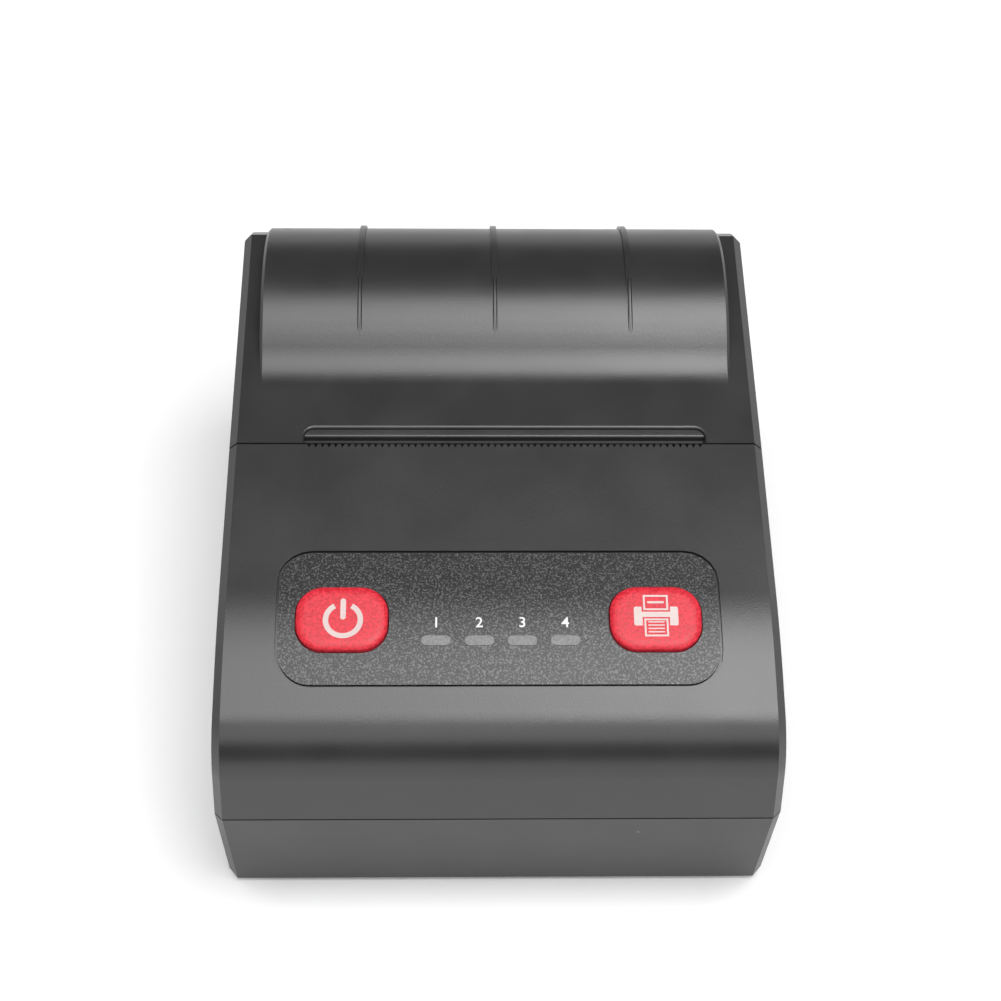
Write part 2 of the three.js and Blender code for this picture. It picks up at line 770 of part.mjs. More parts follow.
// Light windows: pill-shaped pipes that end flush with the film.
for (const [index, x] of lampPlaces.entries()) {
  const outline = roundedRectangle(lampWidth, lampDepth, lampDepth / 2);
  const pipe = columnGeometry(outline, -lampPipeLength, -fit / 3);
  add(`led_window_${index + 1}`, pipe, 'lamp', panelPlace).position.set(x, -lampOffset, 0);
}

// Key board with its two switches and four light chips.
const keyBoard = new THREE.Group();
keyBoard.position.z = keyBoardTop;
panelPlace.add(keyBoard);
const keyBoardOutline = roundedRectangle(keyBoardWidth, keyBoardDepth, keyPostRadius);
add('key_board', columnGeometry(keyBoardOutline, -boardThickness, 0), 'board', keyBoard);
for (const [name, x] of keyPlaces) {
  const can = block(0, 0, switchWidth, switchWidth, fit / 6, switchHeight);
  const plunger = post(0, 0, switchPlungerRadius, switchHeight / 2, switchHeight + switchPlungerHeight);
  add(`${name}_switch`, join(can, plunger), 'steel', keyBoard).position.x = x;
}
for (const [index, x] of lampPlaces.entries()) {
  const chip = new THREE.BoxGeometry(chipWidth, chipDepth, chipHeight);
  add(`led_chip_${index + 1}`, chip, 'whitePlastic', keyBoard).position
    .set(x, -lampOffset, chipHeight / 2 + fit / 6);
}

// Cover shell: flanks, drum, fins, hinge barrel and the recess of the paper slot.
function drumOutline() {
  const lift = lidRise + drumRootRadius;
  const along = Math.sqrt((drumRadius + drumRootRadius) ** 2 - lift ** 2);
  const root = drumCentre.clone().addScaledVector(lidDirection, -along).addScaledVector(lidNormal, lift);
  const meeting = degrees(Math.atan2(root.y - drumCentre.y, root.x - drumCentre.x));
  const skirt = partingHeight + drumSkirtRise;
  return [
    point(rearReach - wall / 2, skirt),
    point(rearReach, skirt),
    ...arc(drumCentre, drumRadius, 0, meeting, drumStep),
    ...arc(root, drumRootRadius, meeting - 180, lidSlopeAngle - 90).slice(1),
    drumCentre.clone().addScaledVector(lidDirection, -along / 2),
  ];
}

// A fin is a crescent: a larger circle, set off towards its middle, that sinks into the drum at both ends.
function fin(x) {
  const growth = finRise / (1 - Math.cos(radians(finHalfSpanAngle)));
  const centre = polar(drumCentre, growth, finMiddleAngle);
  const sunk = growth * Math.cos(radians(finHalfSpanAngle));
  return slab(circle(centre, drumRadius - sunk, drumStep), x - finWidth / 2, x + finWidth / 2);
}

const drumHollow = slab(circle(drumCentre, drumRadius - wall, arcStep),
  -drumHalfWidth + wall, drumHalfWidth - wall);
const drum = slab(drumOutline(), -drumHalfWidth, drumHalfWidth, drumEndChamfer);
const fins = Array.from({ length: finCount }, (_, index) => fin((index - (finCount - 1) / 2) * finPitch));
const barrel = slab(circle(hinge, barrelRadius, arcStep * 2), -caseHalfWidth, caseHalfWidth, edgeChamfer);

const slotFrontY = -seamReach + slotDepthY;
const slotFloorZ = seamHeight - slotDepthZ;
const paperRearY = -seamReach + paperGap;

function slotRecess() {
  const outline = [
    point(slotLeft, everyY[0]),
    point(slotRight, everyY[0]),
    point(slotRight, slotFrontY - slotCornerCut),
    point(slotRight - slotCornerCut, slotFrontY),
    point(slotLeft + slotCornerCut, slotFrontY),
    point(slotLeft, slotFrontY - slotCornerCut),
  ];
  return join(
    column(outline, slotFloorZ, skyZ),
    brick([slotLeft, slotRight], [everyY[0], paperRearY], [partingHeight, skyZ]),
  );
}

function slotSurround() {
  const outline = [
    point(paperRearY - paperGap / 2, slotFloorZ - slotFloorThickness),
    point(slotFrontY + slotBackThickness, slotFloorZ - slotFloorThickness),
    point(slotFrontY + slotBackThickness, skyZ),
    point(paperRearY - paperGap / 2, skyZ),
  ];
  return slab(outline, slotLeft - slotBackThickness, slotRight + slotBackThickness)
    .intersect(slab(inset(profile, wall / 2), ...everyX)).intersect(rearZone);
}

function lugSlot(side) {
  const edges = [side * (lugInnerX - fit), side * (lugInnerX + lugWidth + fit)].sort((a, b) => a - b);
  return brick(edges, [hingeY - lugSlotReach, everyY[1]], [0, partingHeight + lugSlotReach]);
}

const pinEntry = rod(hinge, hingePinRadius + fit / 2, -hingePinHalfLength - fit, everyX[1]);
const coverOuter = join(upperCase, drum, fins);
const cover = join(cut(coverOuter, upperHollow, drumHollow).intersect(rearZone).intersect(upperZone), barrel,
  slotSurround());
add('cover_shell', cut(cover, slotRecess(), lugSlot(-1), lugSlot(1), pinEntry), 'charcoal');
add('hinge_pin', rod(hinge, hingePinRadius, -hingePinHalfLength, hingePinHalfLength), 'steel');

// Platen bracket on the cover: a beam and two ears that hold the roller's shaft.
const platen = point(platenY, platenZ);
const coverUnder = (y) => surfaceHeight(y, innerProfile);

function platenBracket() {
  const beamFront = paperRearY + platenBeamSetback;
  const beamRear = beamFront + platenBeamDepth;
  const left = paperX - platenHalfLength - earGap - earThickness;
  const right = paperX + platenHalfLength + earGap + earThickness;
  const beam = slab([
    point(beamFront, coverUnder(beamFront) - fit - platenBeamThickness),
    point(beamRear, coverUnder(beamRear) - fit - platenBeamThickness),
    point(beamRear, coverUnder(beamRear) - fit),
    point(beamFront, coverUnder(beamFront) - fit),
  ], left, right);
  const ear = [
    ...arc(platen, earRadius, 180, 360),
    point(beamRear, coverUnder(beamRear) - fit - platenBeamThickness / 2),
    point(beamFront, coverUnder(beamFront) - fit - platenBeamThickness / 2),
    point(beamFront, slotFloorZ - slotFloorThickness - fit),
    point(platenY - earRadius, slotFloorZ - slotFloorThickness - fit),
  ];
  const ears = [slab(ear, left, left + earThickness), slab(ear, right - earThickness, right)];
  return cut(join(beam, ears), rod(platen, platenShaftRadius + fit, left - overrun, right + overrun));
}

add('platen_bracket', platenBracket(), 'darkPlastic');

// Platen roller: steel shaft, rubber sleeve, drive gear, and a bush at each end.
const plateLeftX = paperX - frameHalfSpan;
const plateRightX = paperX + frameHalfSpan;
const platenGearRight = plateLeftX - framePlateThickness / 2 - gearPlateGap;
const platenGearLeft = platenGearRight - platenGearWidth;
const bigGearRight = platenGearLeft - gearStackGap;
const bigGearLeft = bigGearRight - pinionWidth;

add('platen_shaft', rod(platen, platenShaftRadius, platenGearLeft - fit / 3,
  plateRightX + framePlateThickness / 2 + gearPlateGap), 'steel');
add('platen_rubber', cut(rod(platen, platenRadius, paperX - platenHalfLength, paperX + platenHalfLength),
  pinBore(platen, platenShaftRadius + fit / 2)), 'platenRubber');
for (const [name, x] of [['left', plateLeftX], ['right', plateRightX]]) {
  const bush = rod(platen, bushRadius, x - bushWidth / 2, x + bushWidth / 2);
  add(`platen_bush_${name}`, cut(bush, pinBore(platen, platenShaftRadius + fit)), 'whitePlastic');
}

// Involute gear outline about the origin, with its first tooth along +Y.
function gearOutline(teeth) {
  const pitchRadius = (gearModule * teeth) / 2;
  const baseRadius = pitchRadius * Math.cos(radians(pressureAngle));
  const rootRadius = pitchRadius - gearModule * dedendumShare;
  const tipRadius = pitchRadius + gearModule * addendumShare;
  const involute = (radius) => {
    const lean = Math.acos(Math.min(1, baseRadius / radius));
    return degrees(Math.tan(lean) - lean);
  };
  const halfTooth = 90 / teeth - degrees(gearBacklash / 4 / pitchRadius);
  const start = Math.max(baseRadius, rootRadius);
  const radii = flankShares.map((share) => start + share * (tipRadius - start));
  const halfAngle = (radius) => halfTooth + involute(pitchRadius) - involute(radius);
  return Array.from({ length: teeth }, (_, index) => {
    const middle = (360 * index) / teeth;
    const rising = radii.map((radius) => polar(point(0, 0), radius, middle - halfAngle(radius)));
    const falling = radii.map((radius) => polar(point(0, 0), radius, middle + halfAngle(radius))).reverse();
    const foot = halfAngle(start);
    return [
      polar(point(0, 0), rootRadius, middle - foot), ...rising,
      ...falling, polar(point(0, 0), rootRadius, middle + foot),
    ];
  }).flat();
}

// A gear between two places along X, turned so that its teeth meet its neighbour's.
function gear(teeth, centre, turn, left, right) {
  const outline = gearOutline(teeth).map((at) => at.rotateAround(point(0, 0), radians(turn)).add(centre));
  return slab(outline, left, right);
}

const meshDistance = (first, second) => (gearModule * (first + second)) / 2;
const reduction = polar(platen, meshDistance(platenGearTeeth, reductionSmallTeeth), reductionDirection);
const motor = polar(reduction, meshDistance(reductionLargeTeeth, pinionTeeth), motorDirection);

add('platen_gear', cut(gear(platenGearTeeth, platen, reductionDirection, platenGearLeft, platenGearRight),
  pinBore(platen, platenShaftRadius + fit / 2)), 'whitePlastic');
add('reduction_gear', cut(join(
  gear(reductionSmallTeeth, reduction, reductionDirection + 180 + 180 / reductionSmallTeeth,
    bigGearRight - pinionWidth / 2, platenGearRight),
  gear(reductionLargeTeeth, reduction, motorDirection, bigGearLeft, bigGearRight),
), pinBore(reduction, axleRadius + fit)), 'whitePlastic');
add('motor_pinion', join(
  gear(pinionTeeth, motor, motorDirection + 180 + 180 / pinionTeeth, bigGearLeft, bigGearRight),
  rod(motor, motorShaftRadius, bigGearLeft, plateLeftX + framePlateThickness / 2 + motorShaftEntry),
), 'steel');
add('gear_axle', rod(reduction, axleRadius, bigGearLeft - gearStackGap,
  plateLeftX + framePlateThickness / 2 + fit), 'steel');

// Stepper motor: a can with two ears, bolted inside the left plate.
function stepperMotor() {
  const left = plateLeftX + framePlateThickness / 2 + fit;
  const ears = [
    point(motor.x - motorShaftRadius * 2, motor.y - motorRadius - motorEarReach),
    point(motor.x + motorShaftRadius * 2, motor.y - motorRadius - motorEarReach),
    point(motor.x + motorShaftRadius * 2, motor.y + motorRadius + motorEarReach / 4),
    point(motor.x - motorShaftRadius * 2, motor.y + motorRadius + motorEarReach / 4),
  ];
  const can = rod(motor, motorRadius, left, left + motorLength);
  return cut(join(can, slab(ears, left, left + motorEarThickness)),
    rod(motor, motorShaftRadius + fit, left - overrun, left + motorShaftEntry + fit));
}

add('stepper_motor', stepperMotor(), 'steel');

// Print head: an aluminium heat sink with a hinge barrel, and the ceramic heater strip on it.
const headFaceY = platenY - platenRadius - fit;
const sinkFrontY = headFaceY - ceramicThickness - fit / 3;
const sinkBackY = sinkFrontY - sinkThickness;
const headPivot = point((sinkFrontY + sinkBackY) / 2, headPivotZ);
const headSpan = [paperX - headHalfLength, paperX + headHalfLength];

function heatSink() {
  const blade = brick(headSpan, [sinkBackY, sinkFrontY], [headPivotZ, headPivotZ + headHeight]);
  const knuckle = rod(headPivot, headKnuckleRadius, ...headSpan);
  return cut(join(blade, knuckle), pinBore(headPivot, headPinRadius + fit));
}

add('head_heat_sink', heatSink(), 'aluminium');
add('thermal_head', brick(headSpan.map((x, index) => x + (index ? -1 : 1) * ceramicEdge),
  [headFaceY - ceramicThickness, headFaceY],
  [headPivotZ + headKnuckleRadius + fit, headPivotZ + headHeight]), 'ceramic');
const plateOuter = framePlateThickness / 2 + fit / 3;
add('head_pivot_pin',
  rod(headPivot, headPinRadius, plateLeftX - plateOuter, plateRightX + plateOuter), 'steel');

// Mechanism frame: side plates with jaws for the roller's bushes, a front bar and a foot bar.
function framePlate(x) {
  const rearTangent = polar(platen, bushRadius + fit, jawFlareAngle - 90);
  const frontTangent = polar(platen, bushRadius + fit, jawOpeningAngle + 90);
  const jaw = [
    ...arc(platen, bushRadius + fit, jawOpeningAngle + 90, jawFlareAngle + 270),
    rearTangent.clone().add(polar(point(0, 0), platenRadius * 4, jawFlareAngle)),
    frontTangent.clone().add(polar(point(0, 0), platenRadius * 4, jawOpeningAngle)),
  ];
  const plate = [
    point(frameFrontY, floorTop + fit),
    point(frameRearY, floorTop + fit),
    point(frameRearY, frameRearJawZ),
    point(platenY, frameRearJawZ),
    point(platenY, frameTopZ),
    point(frameFrontY, frameTopZ),
  ];
  const left = x - framePlateThickness / 2;
  const right = x + framePlateThickness / 2;
  return cut(slab(plate, left, right), slab(jaw, left - fit, right + fit));
}

function mechanismFrame() {
  const bar = brick([plateLeftX, plateRightX], [frameFrontY, frameFrontY + frameBarThickness],
    [frameBarBottomZ, frameTopZ]);
  const foot = brick([plateLeftX, plateRightX], [frameFrontY, frameFrontY + frameFootDepth],
    [floorTop + fit, floorTop + fit + frameFootHeight]);
  const pivotBores = pinBore(headPivot, headPinRadius + fit);
  const axleBore = rod(reduction, axleRadius + fit / 2, everyX[0], 0);
  const shaftBore = rod(motor, motorShaftRadius * 2, everyX[0], 0);
  const plates = [framePlate(plateLeftX), framePlate(plateRightX)];
  return cut(join(plates, bar, foot), pivotBores, axleBore, shaftBore);
}

add('mechanism_frame', mechanismFrame(), 'steel');

// Head springs: open coils between the front bar and the heat sink.
function coilSpring() {
  const length = sinkBackY - springSeatGap - (frameFrontY + frameBarThickness + fit);
  const steps = springTurns * springStepsPerTurn;
  const turns = Array.from({ length: steps + 1 }, (_, index) => {
    const share = index / steps;
    const angle = share * springTurns * 2 * Math.PI;
    const radius = springRadius - springWireRadius;
    return new THREE.Vector3(radius * Math.cos(angle),
      springWireRadius + share * (length - 2 * springWireRadius), radius * Math.sin(angle));
  });
  const wire = new THREE.Shape(circle(point(0, 0), springWireRadius, 3 * roundStep));
  return new THREE.ExtrudeGeometry(wire, {
    steps, bevelEnabled: false, extrudePath: new THREE.CatmullRomCurve3(turns),
  });
}

for (const [name, side] of [['left', -1], ['right', 1]]) {
  add(`head_spring_${name}`, coilSpring(), 'steel').position
    .set(paperX + (side * springSpacing) / 2, frameFrontY + frameBarThickness + fit, springZ);
}

// Paper bucket: a trough under the roll between two end walls that stand on the floor.
function paperBucket() {
  const outer = bucketOuterRadius;
  const lipAngle = 180 - degrees(Math.asin((bucketLipZ - drumCentreZ) / outer));
  const rearAngle = 360 - degrees(Math.asin((drumCentreZ - bucketRearZ) / outer));
  const rearFootAngle = 360 - degrees(Math.acos((bucketFootRearY - drumCentreY) / outer));
  const frontFootAngle = 180 + degrees(Math.acos((drumCentreY - bucketFootFrontY) / outer));
  const trough = [
    ...arc(drumCentre, outer, lipAngle, rearAngle),
    ...arc(drumCentre, bucketRadius, rearAngle, lipAngle),
  ];
  const end = [
    point(bucketFootFrontY, floorTop + fit),
    point(bucketFootRearY, floorTop + fit),
    ...arc(drumCentre, outer, rearFootAngle, rearAngle),
    point(bucketFootRearY, bucketLipZ),
    ...arc(drumCentre, outer, lipAngle, frontFootAngle),
  ];
  const left = paperX - bucketHalfLength - bucketWall;
  const right = paperX + bucketHalfLength + bucketWall;
  const feet = bucketScrewPlaces.map(([x]) => brick(
    [x - bucketFlangeWidth / 2 - bucketWall / 2, x + bucketFlangeWidth / 2 + bucketWall / 2],
    [bucketScrewY - bucketFlangeWidth, bucketScrewY + bucketFlangeWidth],
    [floorTop + fit, floorTop + fit + bucketFlangeHeight]));
  const bores = bucketScrewPlaces.map(([x, y]) =>
    post(x, y, smallShankRadius + fit / 2, 0, floorTop + fit + bucketFlangeHeight + fit));
  return cut(join(slab(trough, left, right), slab(end, left, left + bucketWall),
    slab(end, right - bucketWall, right), feet), bores);
}

add('paper_bucket', paperBucket(), 'darkPlastic');

// Battery pack and its door.
const batteryFrontY = doorFrontY + fit;
const batteryRearY = doorRearY - wall - 2 * fit;
const batteryBottom = floorTop + fit;
const batteryOutline = roundedRectangle(2 * batteryHalfWidth, batteryRearY - batteryFrontY, batteryCorner)
  .map((at) => at.add(point(0, (batteryFrontY + batteryRearY) / 2)));
add('battery_pack', column(batteryOutline, batteryBottom, batteryBottom + batteryHeight), 'wrap');

function batteryDoor() {
  const plate = brick([-doorHalfWidth + fit, doorHalfWidth - fit], [doorFrontY + fit, doorRearY - fit],
    [footStandoff, floorTop]);
  const tab = brick([-doorTabWidth / 2 + fit, doorTabWidth / 2 - fit],
    [doorTabFrontY + fit, doorFrontY + 2 * wall],
    [footStandoff, footStandoff + doorTabThickness]);
  const rib = brick([-batteryHalfWidth, batteryHalfWidth], [doorRearY - fit - wall, doorRearY - fit],
    [floorTop - wall / 2, floorTop + fit + doorHookThickness]);
  const hooks = [-1, 1].map((side) => brick(
    [(side * doorHookSpacing - doorHookWidth) / 2, (side * doorHookSpacing + doorHookWidth) / 2],
    [doorRearY - fit - wall, doorRearY + doorHookReach],
    [floorTop + fit, floorTop + fit + doorHookThickness]));
  const bores = [
    post(0, doorBossY, smallShankRadius + fit, 0, floorTop + fit),
    post(0, doorBossY, smallHeadRadius + fit, 0, footStandoff + smallHeadHeight + fit / 6),
  ];
  return cut(join(plate, tab, rib, hooks), bores);
}

add('battery_door', batteryDoor(), 'charcoal');

// Main board with its charging socket, radio module and battery plug.
function mainBoard() {
  const outline = [
    point(-mainBoardHalfWidth, mainBoardFrontY),
    point(mainBoardHalfWidth, mainBoardFrontY),
    point(mainBoardHalfWidth, socketY - mainBoardTabWidth / 2),
    point(innerHalfWidth - 2 * fit, socketY - mainBoardTabWidth / 2),
    point(innerHalfWidth - 2 * fit, socketY + mainBoardTabWidth / 2),
    point(mainBoardHalfWidth, socketY + mainBoardTabWidth / 2),
    point(mainBoardHalfWidth, mainBoardRearY),
    point(-mainBoardHalfWidth, mainBoardRearY),
  ];
  return column(outline, mainBoardZ, mainBoardZ + boardThickness);
}

const boardTop = mainBoardZ + boardThickness + fit / 6;

function chargingSocket() {
  const right = caseHalfWidth - wall / 2 - socketSetback;
  const span = [right - socketLength, right];
  const face = roundedRectangle(socketWidth, socketHeight, socketHeight / 2 - socketWall)
    .map((at) => at.add(point(socketY, boardTop + socketHeight / 2)));
  const body = slab(face, ...span);
  const mouth = slab(inset(face, socketWall), span[0] + socketWall, span[1] + overrun);
  const tongue = brick([span[0], span[1] - socketTongueInset],
    [socketY - socketWidth / 3, socketY + socketWidth / 3],
    [-1, 1].map((side) => boardTop + (socketHeight + side * socketTongueThickness) / 2));
  return join(cut(body, mouth), tongue);
}

add('main_board', mainBoard(), 'board');
add('charging_socket', chargingSocket(), 'steel');
add('radio_module', block(radioX, radioY, radioWidth, radioDepth, boardTop, radioHeight), 'steel');
add('battery_plug', block(plugX, plugY, plugWidth, plugDepth, boardTop, plugHeight), 'whitePlastic');

// Sensors: paper under the roller, cover beside the right plate.
add('paper_sensor', block(paperX, drumCentreY - bucketRadius - bucketWall - paperSensorDepth / 2 - fit,
  paperSensorWidth, paperSensorDepth, paperSensorZ, paperSensorHeight), 'darkPlastic');
add('cover_sensor', block(plateRightX + framePlateThickness / 2 + fit + coverSensorWidth / 2, coverSensorY,
  coverSensorWidth, coverSensorDepth, coverSensorZ, coverSensorHeight), 'darkPlastic');

// Flat cable from the print head down to the main board.
function headFlex() {
  const back = sinkBackY - springSeatGap;
  const low = boardTop + fit;
  const down = back - flexBend / 2;
  const front = mainBoardRearY - flexBend;
  const path = [
    point(back, headPivotZ + headHeight / 2),
    point(back, headPivotZ + headKnuckleRadius),
    point(down, headPivotZ - headKnuckleRadius),
    point(down, low + flexBend),
    point(down - flexBend, low),
    point(front, low),
  ];
  const other = path.map((at, index) => {
    const previous = path[Math.max(0, index - 1)];
    const next = path[Math.min(path.length - 1, index + 1)];
    const along = next.clone().sub(previous).normalize();
    return at.clone().add(point(along.y, -along.x).multiplyScalar(flexThickness));
  });
  return slab([...path, ...other.reverse()], paperX - flexWidth / 2, paperX + flexWidth / 2);
}

add('head_flex_cable', headFlex(), 'flex');

// Screws: a turned head and shank with a cross slot, standing head down.
function screwShape(share) {
  const head = post(0, 0, screwHeadRadius * share, 0, screwHeadHeight * share);
  const shank = post(0, 0, screwShankRadius * share, screwHeadHeight * share / 2,
    (screwHeadHeight + screwShankLength) * share);
  const slot = [[driveLength, driveWidth], [driveWidth, driveLength]].map(([width, depth]) =>
    block(0, 0, width * share, depth * share, -driveDepth * share, 2 * driveDepth * share));
  return cut(join(head, shank), slot);
}

function shortScrew(length) {
  return cut(screwShape(smallScrewShare), post(0, 0, screwHeadRadius, smallHeadHeight + length, skyZ));
}

for (const [index, [x, y]] of screwPlaces.entries()) {
  add(`case_screw_${index + 1}`, screwShape(1), 'steel').position
    .set(x, y, counterboreTop - screwHeadHeight - fit / 2);
}
for (const [index, [x, y]] of bucketScrewPlaces.entries()) {
  add(`bucket_screw_${index + 1}`, shortScrew(bucketFlangeHeight + fit), 'steel').position
    .set(x, y, footStandoff - fit / 3);
}
add('door_screw', shortScrew(doorScrewLength), 'steel').position.set(0, doorBossY, footStandoff);

// Rubber feet, pressed into shallow seats in the underside.
for (const [index, [x, y]] of footPlaces.entries()) {
  add(`foot_${index + 1}`, columnGeometry(circle(point(0, 0), footRadius), 0,
    footStandoff + footSeat, footSeat / 2), 'rubber').position.set(x, y, 0);
}

export default printer;
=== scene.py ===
# Portable receipt printer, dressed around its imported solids, in the frame of the part:
# metres, +Z up, the front towards -Y, the origin under the middle of the case.
# New pieces are shaped in millimetres and turned into metres when they are seated.

import json
import math

import bmesh
import bpy
from mathutils import Matrix, Vector
from mathutils.bvhtree import BVHTree


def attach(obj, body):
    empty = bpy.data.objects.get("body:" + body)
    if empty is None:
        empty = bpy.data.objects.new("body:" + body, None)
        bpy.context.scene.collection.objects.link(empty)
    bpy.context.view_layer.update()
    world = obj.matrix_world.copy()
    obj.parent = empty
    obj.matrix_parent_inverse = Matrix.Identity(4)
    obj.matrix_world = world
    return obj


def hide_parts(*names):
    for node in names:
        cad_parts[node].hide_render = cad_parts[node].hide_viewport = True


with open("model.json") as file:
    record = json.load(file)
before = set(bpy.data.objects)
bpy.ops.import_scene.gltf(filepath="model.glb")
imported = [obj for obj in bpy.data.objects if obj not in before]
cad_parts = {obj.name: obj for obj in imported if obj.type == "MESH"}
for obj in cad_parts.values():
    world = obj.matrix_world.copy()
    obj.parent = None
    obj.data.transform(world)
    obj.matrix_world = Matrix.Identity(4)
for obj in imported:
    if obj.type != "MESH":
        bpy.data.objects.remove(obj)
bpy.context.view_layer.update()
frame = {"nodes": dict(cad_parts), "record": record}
scene = bpy.context.scene
mm = 0.001

# Camera: it stands in front of the printer and looks down on it at 48 degrees, with a lens
# a little longer than normal, a few millimetres to the left of the middle.
camera_x, camera_y, camera_z = -7.3 * mm, -222.6 * mm, 280.6 * mm
camera_tilt, camera_turn = 42, -1.41
camera_data = bpy.data.cameras.new("photo_camera")
camera_data.sensor_width = 36
camera_data.lens = 76.6
camera_data.clip_start = 0.01
camera = bpy.data.objects.new("photo_camera", camera_data)
camera.matrix_world = (
    Matrix.Translation((camera_x, camera_y, camera_z))
    @ Matrix.Rotation(math.radians(camera_tilt), 4, "X")
    @ Matrix.Rotation(math.radians(camera_turn), 4, "Y")
)
scene.collection.objects.link(camera)
scene.camera = camera

# Light: a bright soft box hangs over the printer on the right and a weaker one on the left,
# with a long low one in front. The room is white low down behind and dim above and in front.
for name, place, turn, wide, deep, watts in (
    ("soft_box_right", (0.3, -0.17, 1.05), 0, 0.5, 0.7, 7.2),
    ("soft_box_left", (-0.23, -0.17, 1.05), 0, 0.56, 0.7, 3.9),
    ("soft_box_front", (0.1, -0.84, 0.82), 45, 1.1, 0.56, 3.0),
):
    soft_box_data = bpy.data.lights.new(name, "AREA")
    soft_box_data.shape = "RECTANGLE"
    soft_box_data.size = wide
    soft_box_data.size_y = deep
    soft_box_data.energy = watts
    soft_box = bpy.data.objects.new(name, soft_box_data)
    soft_box.matrix_world = Matrix.Translation(place) @ Matrix.Rotation(math.radians(turn), 4, "X")
    scene.collection.objects.link(soft_box)


def knot(tree, kind, inputs=None, **settings):
    """Adds a node to a tree, with its settings, and fills or links its input sockets."""
    made = tree.nodes.new(kind)
    for setting, value in settings.items():
        setattr(made, setting, value)
    for socket, value in (inputs or {}).items():
        if isinstance(value, bpy.types.NodeSocket):
            tree.links.new(value, made.inputs[socket])
        else:
            made.inputs[socket].default_value = value
    return made


def reckon(tree, operation, *values):
    """Adds a sum to a tree and gives the socket with its result."""
    return knot(tree, "ShaderNodeMath", dict(enumerate(values)), operation=operation).outputs[0]


room_slant, white_below, dim_above = -0.13, 0.02, 0.2
room = bpy.data.worlds.new("room")
room.use_nodes = True
scene.world = room
tree = room.node_tree
tree.nodes.clear()
compass = knot(tree, "ShaderNodeTexCoord")
heading = knot(tree, "ShaderNodeSeparateXYZ", {"Vector": compass.outputs["Generated"]})
height = reckon(tree, "MULTIPLY_ADD", heading.outputs["Y"], room_slant, heading.outputs["Z"])
ramp = knot(tree, "ShaderNodeValToRGB", {"Fac": height})
ramp.color_ramp.elements[0].position = white_below
ramp.color_ramp.elements[0].color = (0.95, 0.95, 0.95, 1)
ramp.color_ramp.elements[1].position = dim_above
ramp.color_ramp.elements[1].color = (0.13, 0.13, 0.133, 1)
walls = knot(tree, "ShaderNodeBackground", {"Color": ramp.outputs["Color"]})
white = knot(tree, "ShaderNodeBackground", {"Color": (1, 1, 1, 1)})
rays = knot(tree, "ShaderNodeLightPath")
around = knot(tree, "ShaderNodeMixShader", {0: rays.outputs["Is Camera Ray"], 1: walls.outputs[0],
                                            2: white.outputs[0]})
knot(tree, "ShaderNodeOutputWorld", {"Surface": around.outputs[0]})
scene.view_settings.view_transform = "Standard"

# Table: a wide sheet of white card that takes the printer's shadow. To the camera and to
# anything glossy it glows up to white, except close under the printer's front edge, where the
# glow is left out as painted shadow that deepens the contact shadow. From below it is clear,
# so that the underside of the printer can be seen.
table_half = 4
painted_shadow_half_width, painted_shadow_front, painted_shadow_rear, painted_shadow_fade, card_glow = 0.031, -0.043, -0.041, 0.01, 0.24
form = bmesh.new()
bmesh.ops.create_grid(form, x_segments=4, y_segments=4, size=table_half)
table_mesh = bpy.data.meshes.new("table")
form.to_mesh(table_mesh)
form.free()
table = bpy.data.objects.new("table", table_mesh)
scene.collection.objects.link(table)
white_card = bpy.data.materials.new("white_card")
white_card.use_nodes = True
tree = white_card.node_tree
tree.nodes.clear()
fibre = knot(tree, "ShaderNodeTexNoise", {"Scale": 900.0, "Detail": 2.0})
fibre_tint = knot(tree, "ShaderNodeMix", {"Factor": fibre.outputs["Fac"], "A": (0.86, 0.86, 0.86, 1),
                                          "B": (0.89, 0.89, 0.89, 1)}, data_type="RGBA")
matt = knot(tree, "ShaderNodeBsdfDiffuse", {"Color": fibre_tint.outputs["Result"]})
rays = knot(tree, "ShaderNodeLightPath")
direct = reckon(tree, "MAXIMUM", rays.outputs["Is Camera Ray"], rays.outputs["Is Glossy Ray"])
seen = reckon(tree, "MAXIMUM", direct, rays.outputs["Is Transmission Ray"])
place = knot(tree, "ShaderNodeTexCoord")
spot = knot(tree, "ShaderNodeSeparateXYZ", {"Vector": place.outputs["Object"]})
# Painted shadow: close under the printer's front edge the glow fades out, so the card stays darker there.
aside = knot(tree, "ShaderNodeMapRange", {"Value": reckon(tree, "ABSOLUTE", spot.outputs["X"]),
                                          "From Min": painted_shadow_half_width,
                                          "From Max": painted_shadow_half_width + painted_shadow_fade})
ahead = knot(tree, "ShaderNodeMapRange", {"Value": spot.outputs["Y"], "From Min": painted_shadow_front,
                                          "From Max": painted_shadow_front - painted_shadow_fade})
apart = knot(tree, "ShaderNodeCombineXYZ", {"X": aside.outputs["Result"], "Y": ahead.outputs["Result"]})
away = knot(tree, "ShaderNodeVectorMath", {0: apart.outputs[0]}, operation="LENGTH")
beside = reckon(tree, "GREATER_THAN", spot.outputs["Y"], painted_shadow_rear)
lit = reckon(tree, "MINIMUM", reckon(tree, "MAXIMUM", away.outputs["Value"], beside), 1)
glow = reckon(tree, "MULTIPLY", seen, reckon(tree, "MULTIPLY", lit, card_glow))
shine = knot(tree, "ShaderNodeEmission", {"Strength": glow})
front = knot(tree, "ShaderNodeAddShader", {0: matt.outputs[0], 1: shine.outputs[0]})
side = knot(tree, "ShaderNodeNewGeometry")
clear = knot(tree, "ShaderNodeBsdfTransparent")
card = knot(tree, "ShaderNodeMixShader", {0: side.outputs["Backfacing"], 1: front.outputs[0],
                                          2: clear.outputs[0]})
knot(tree, "ShaderNodeOutputMaterial", {"Surface": card.outputs[0]})
table_mesh.materials.append(white_card)

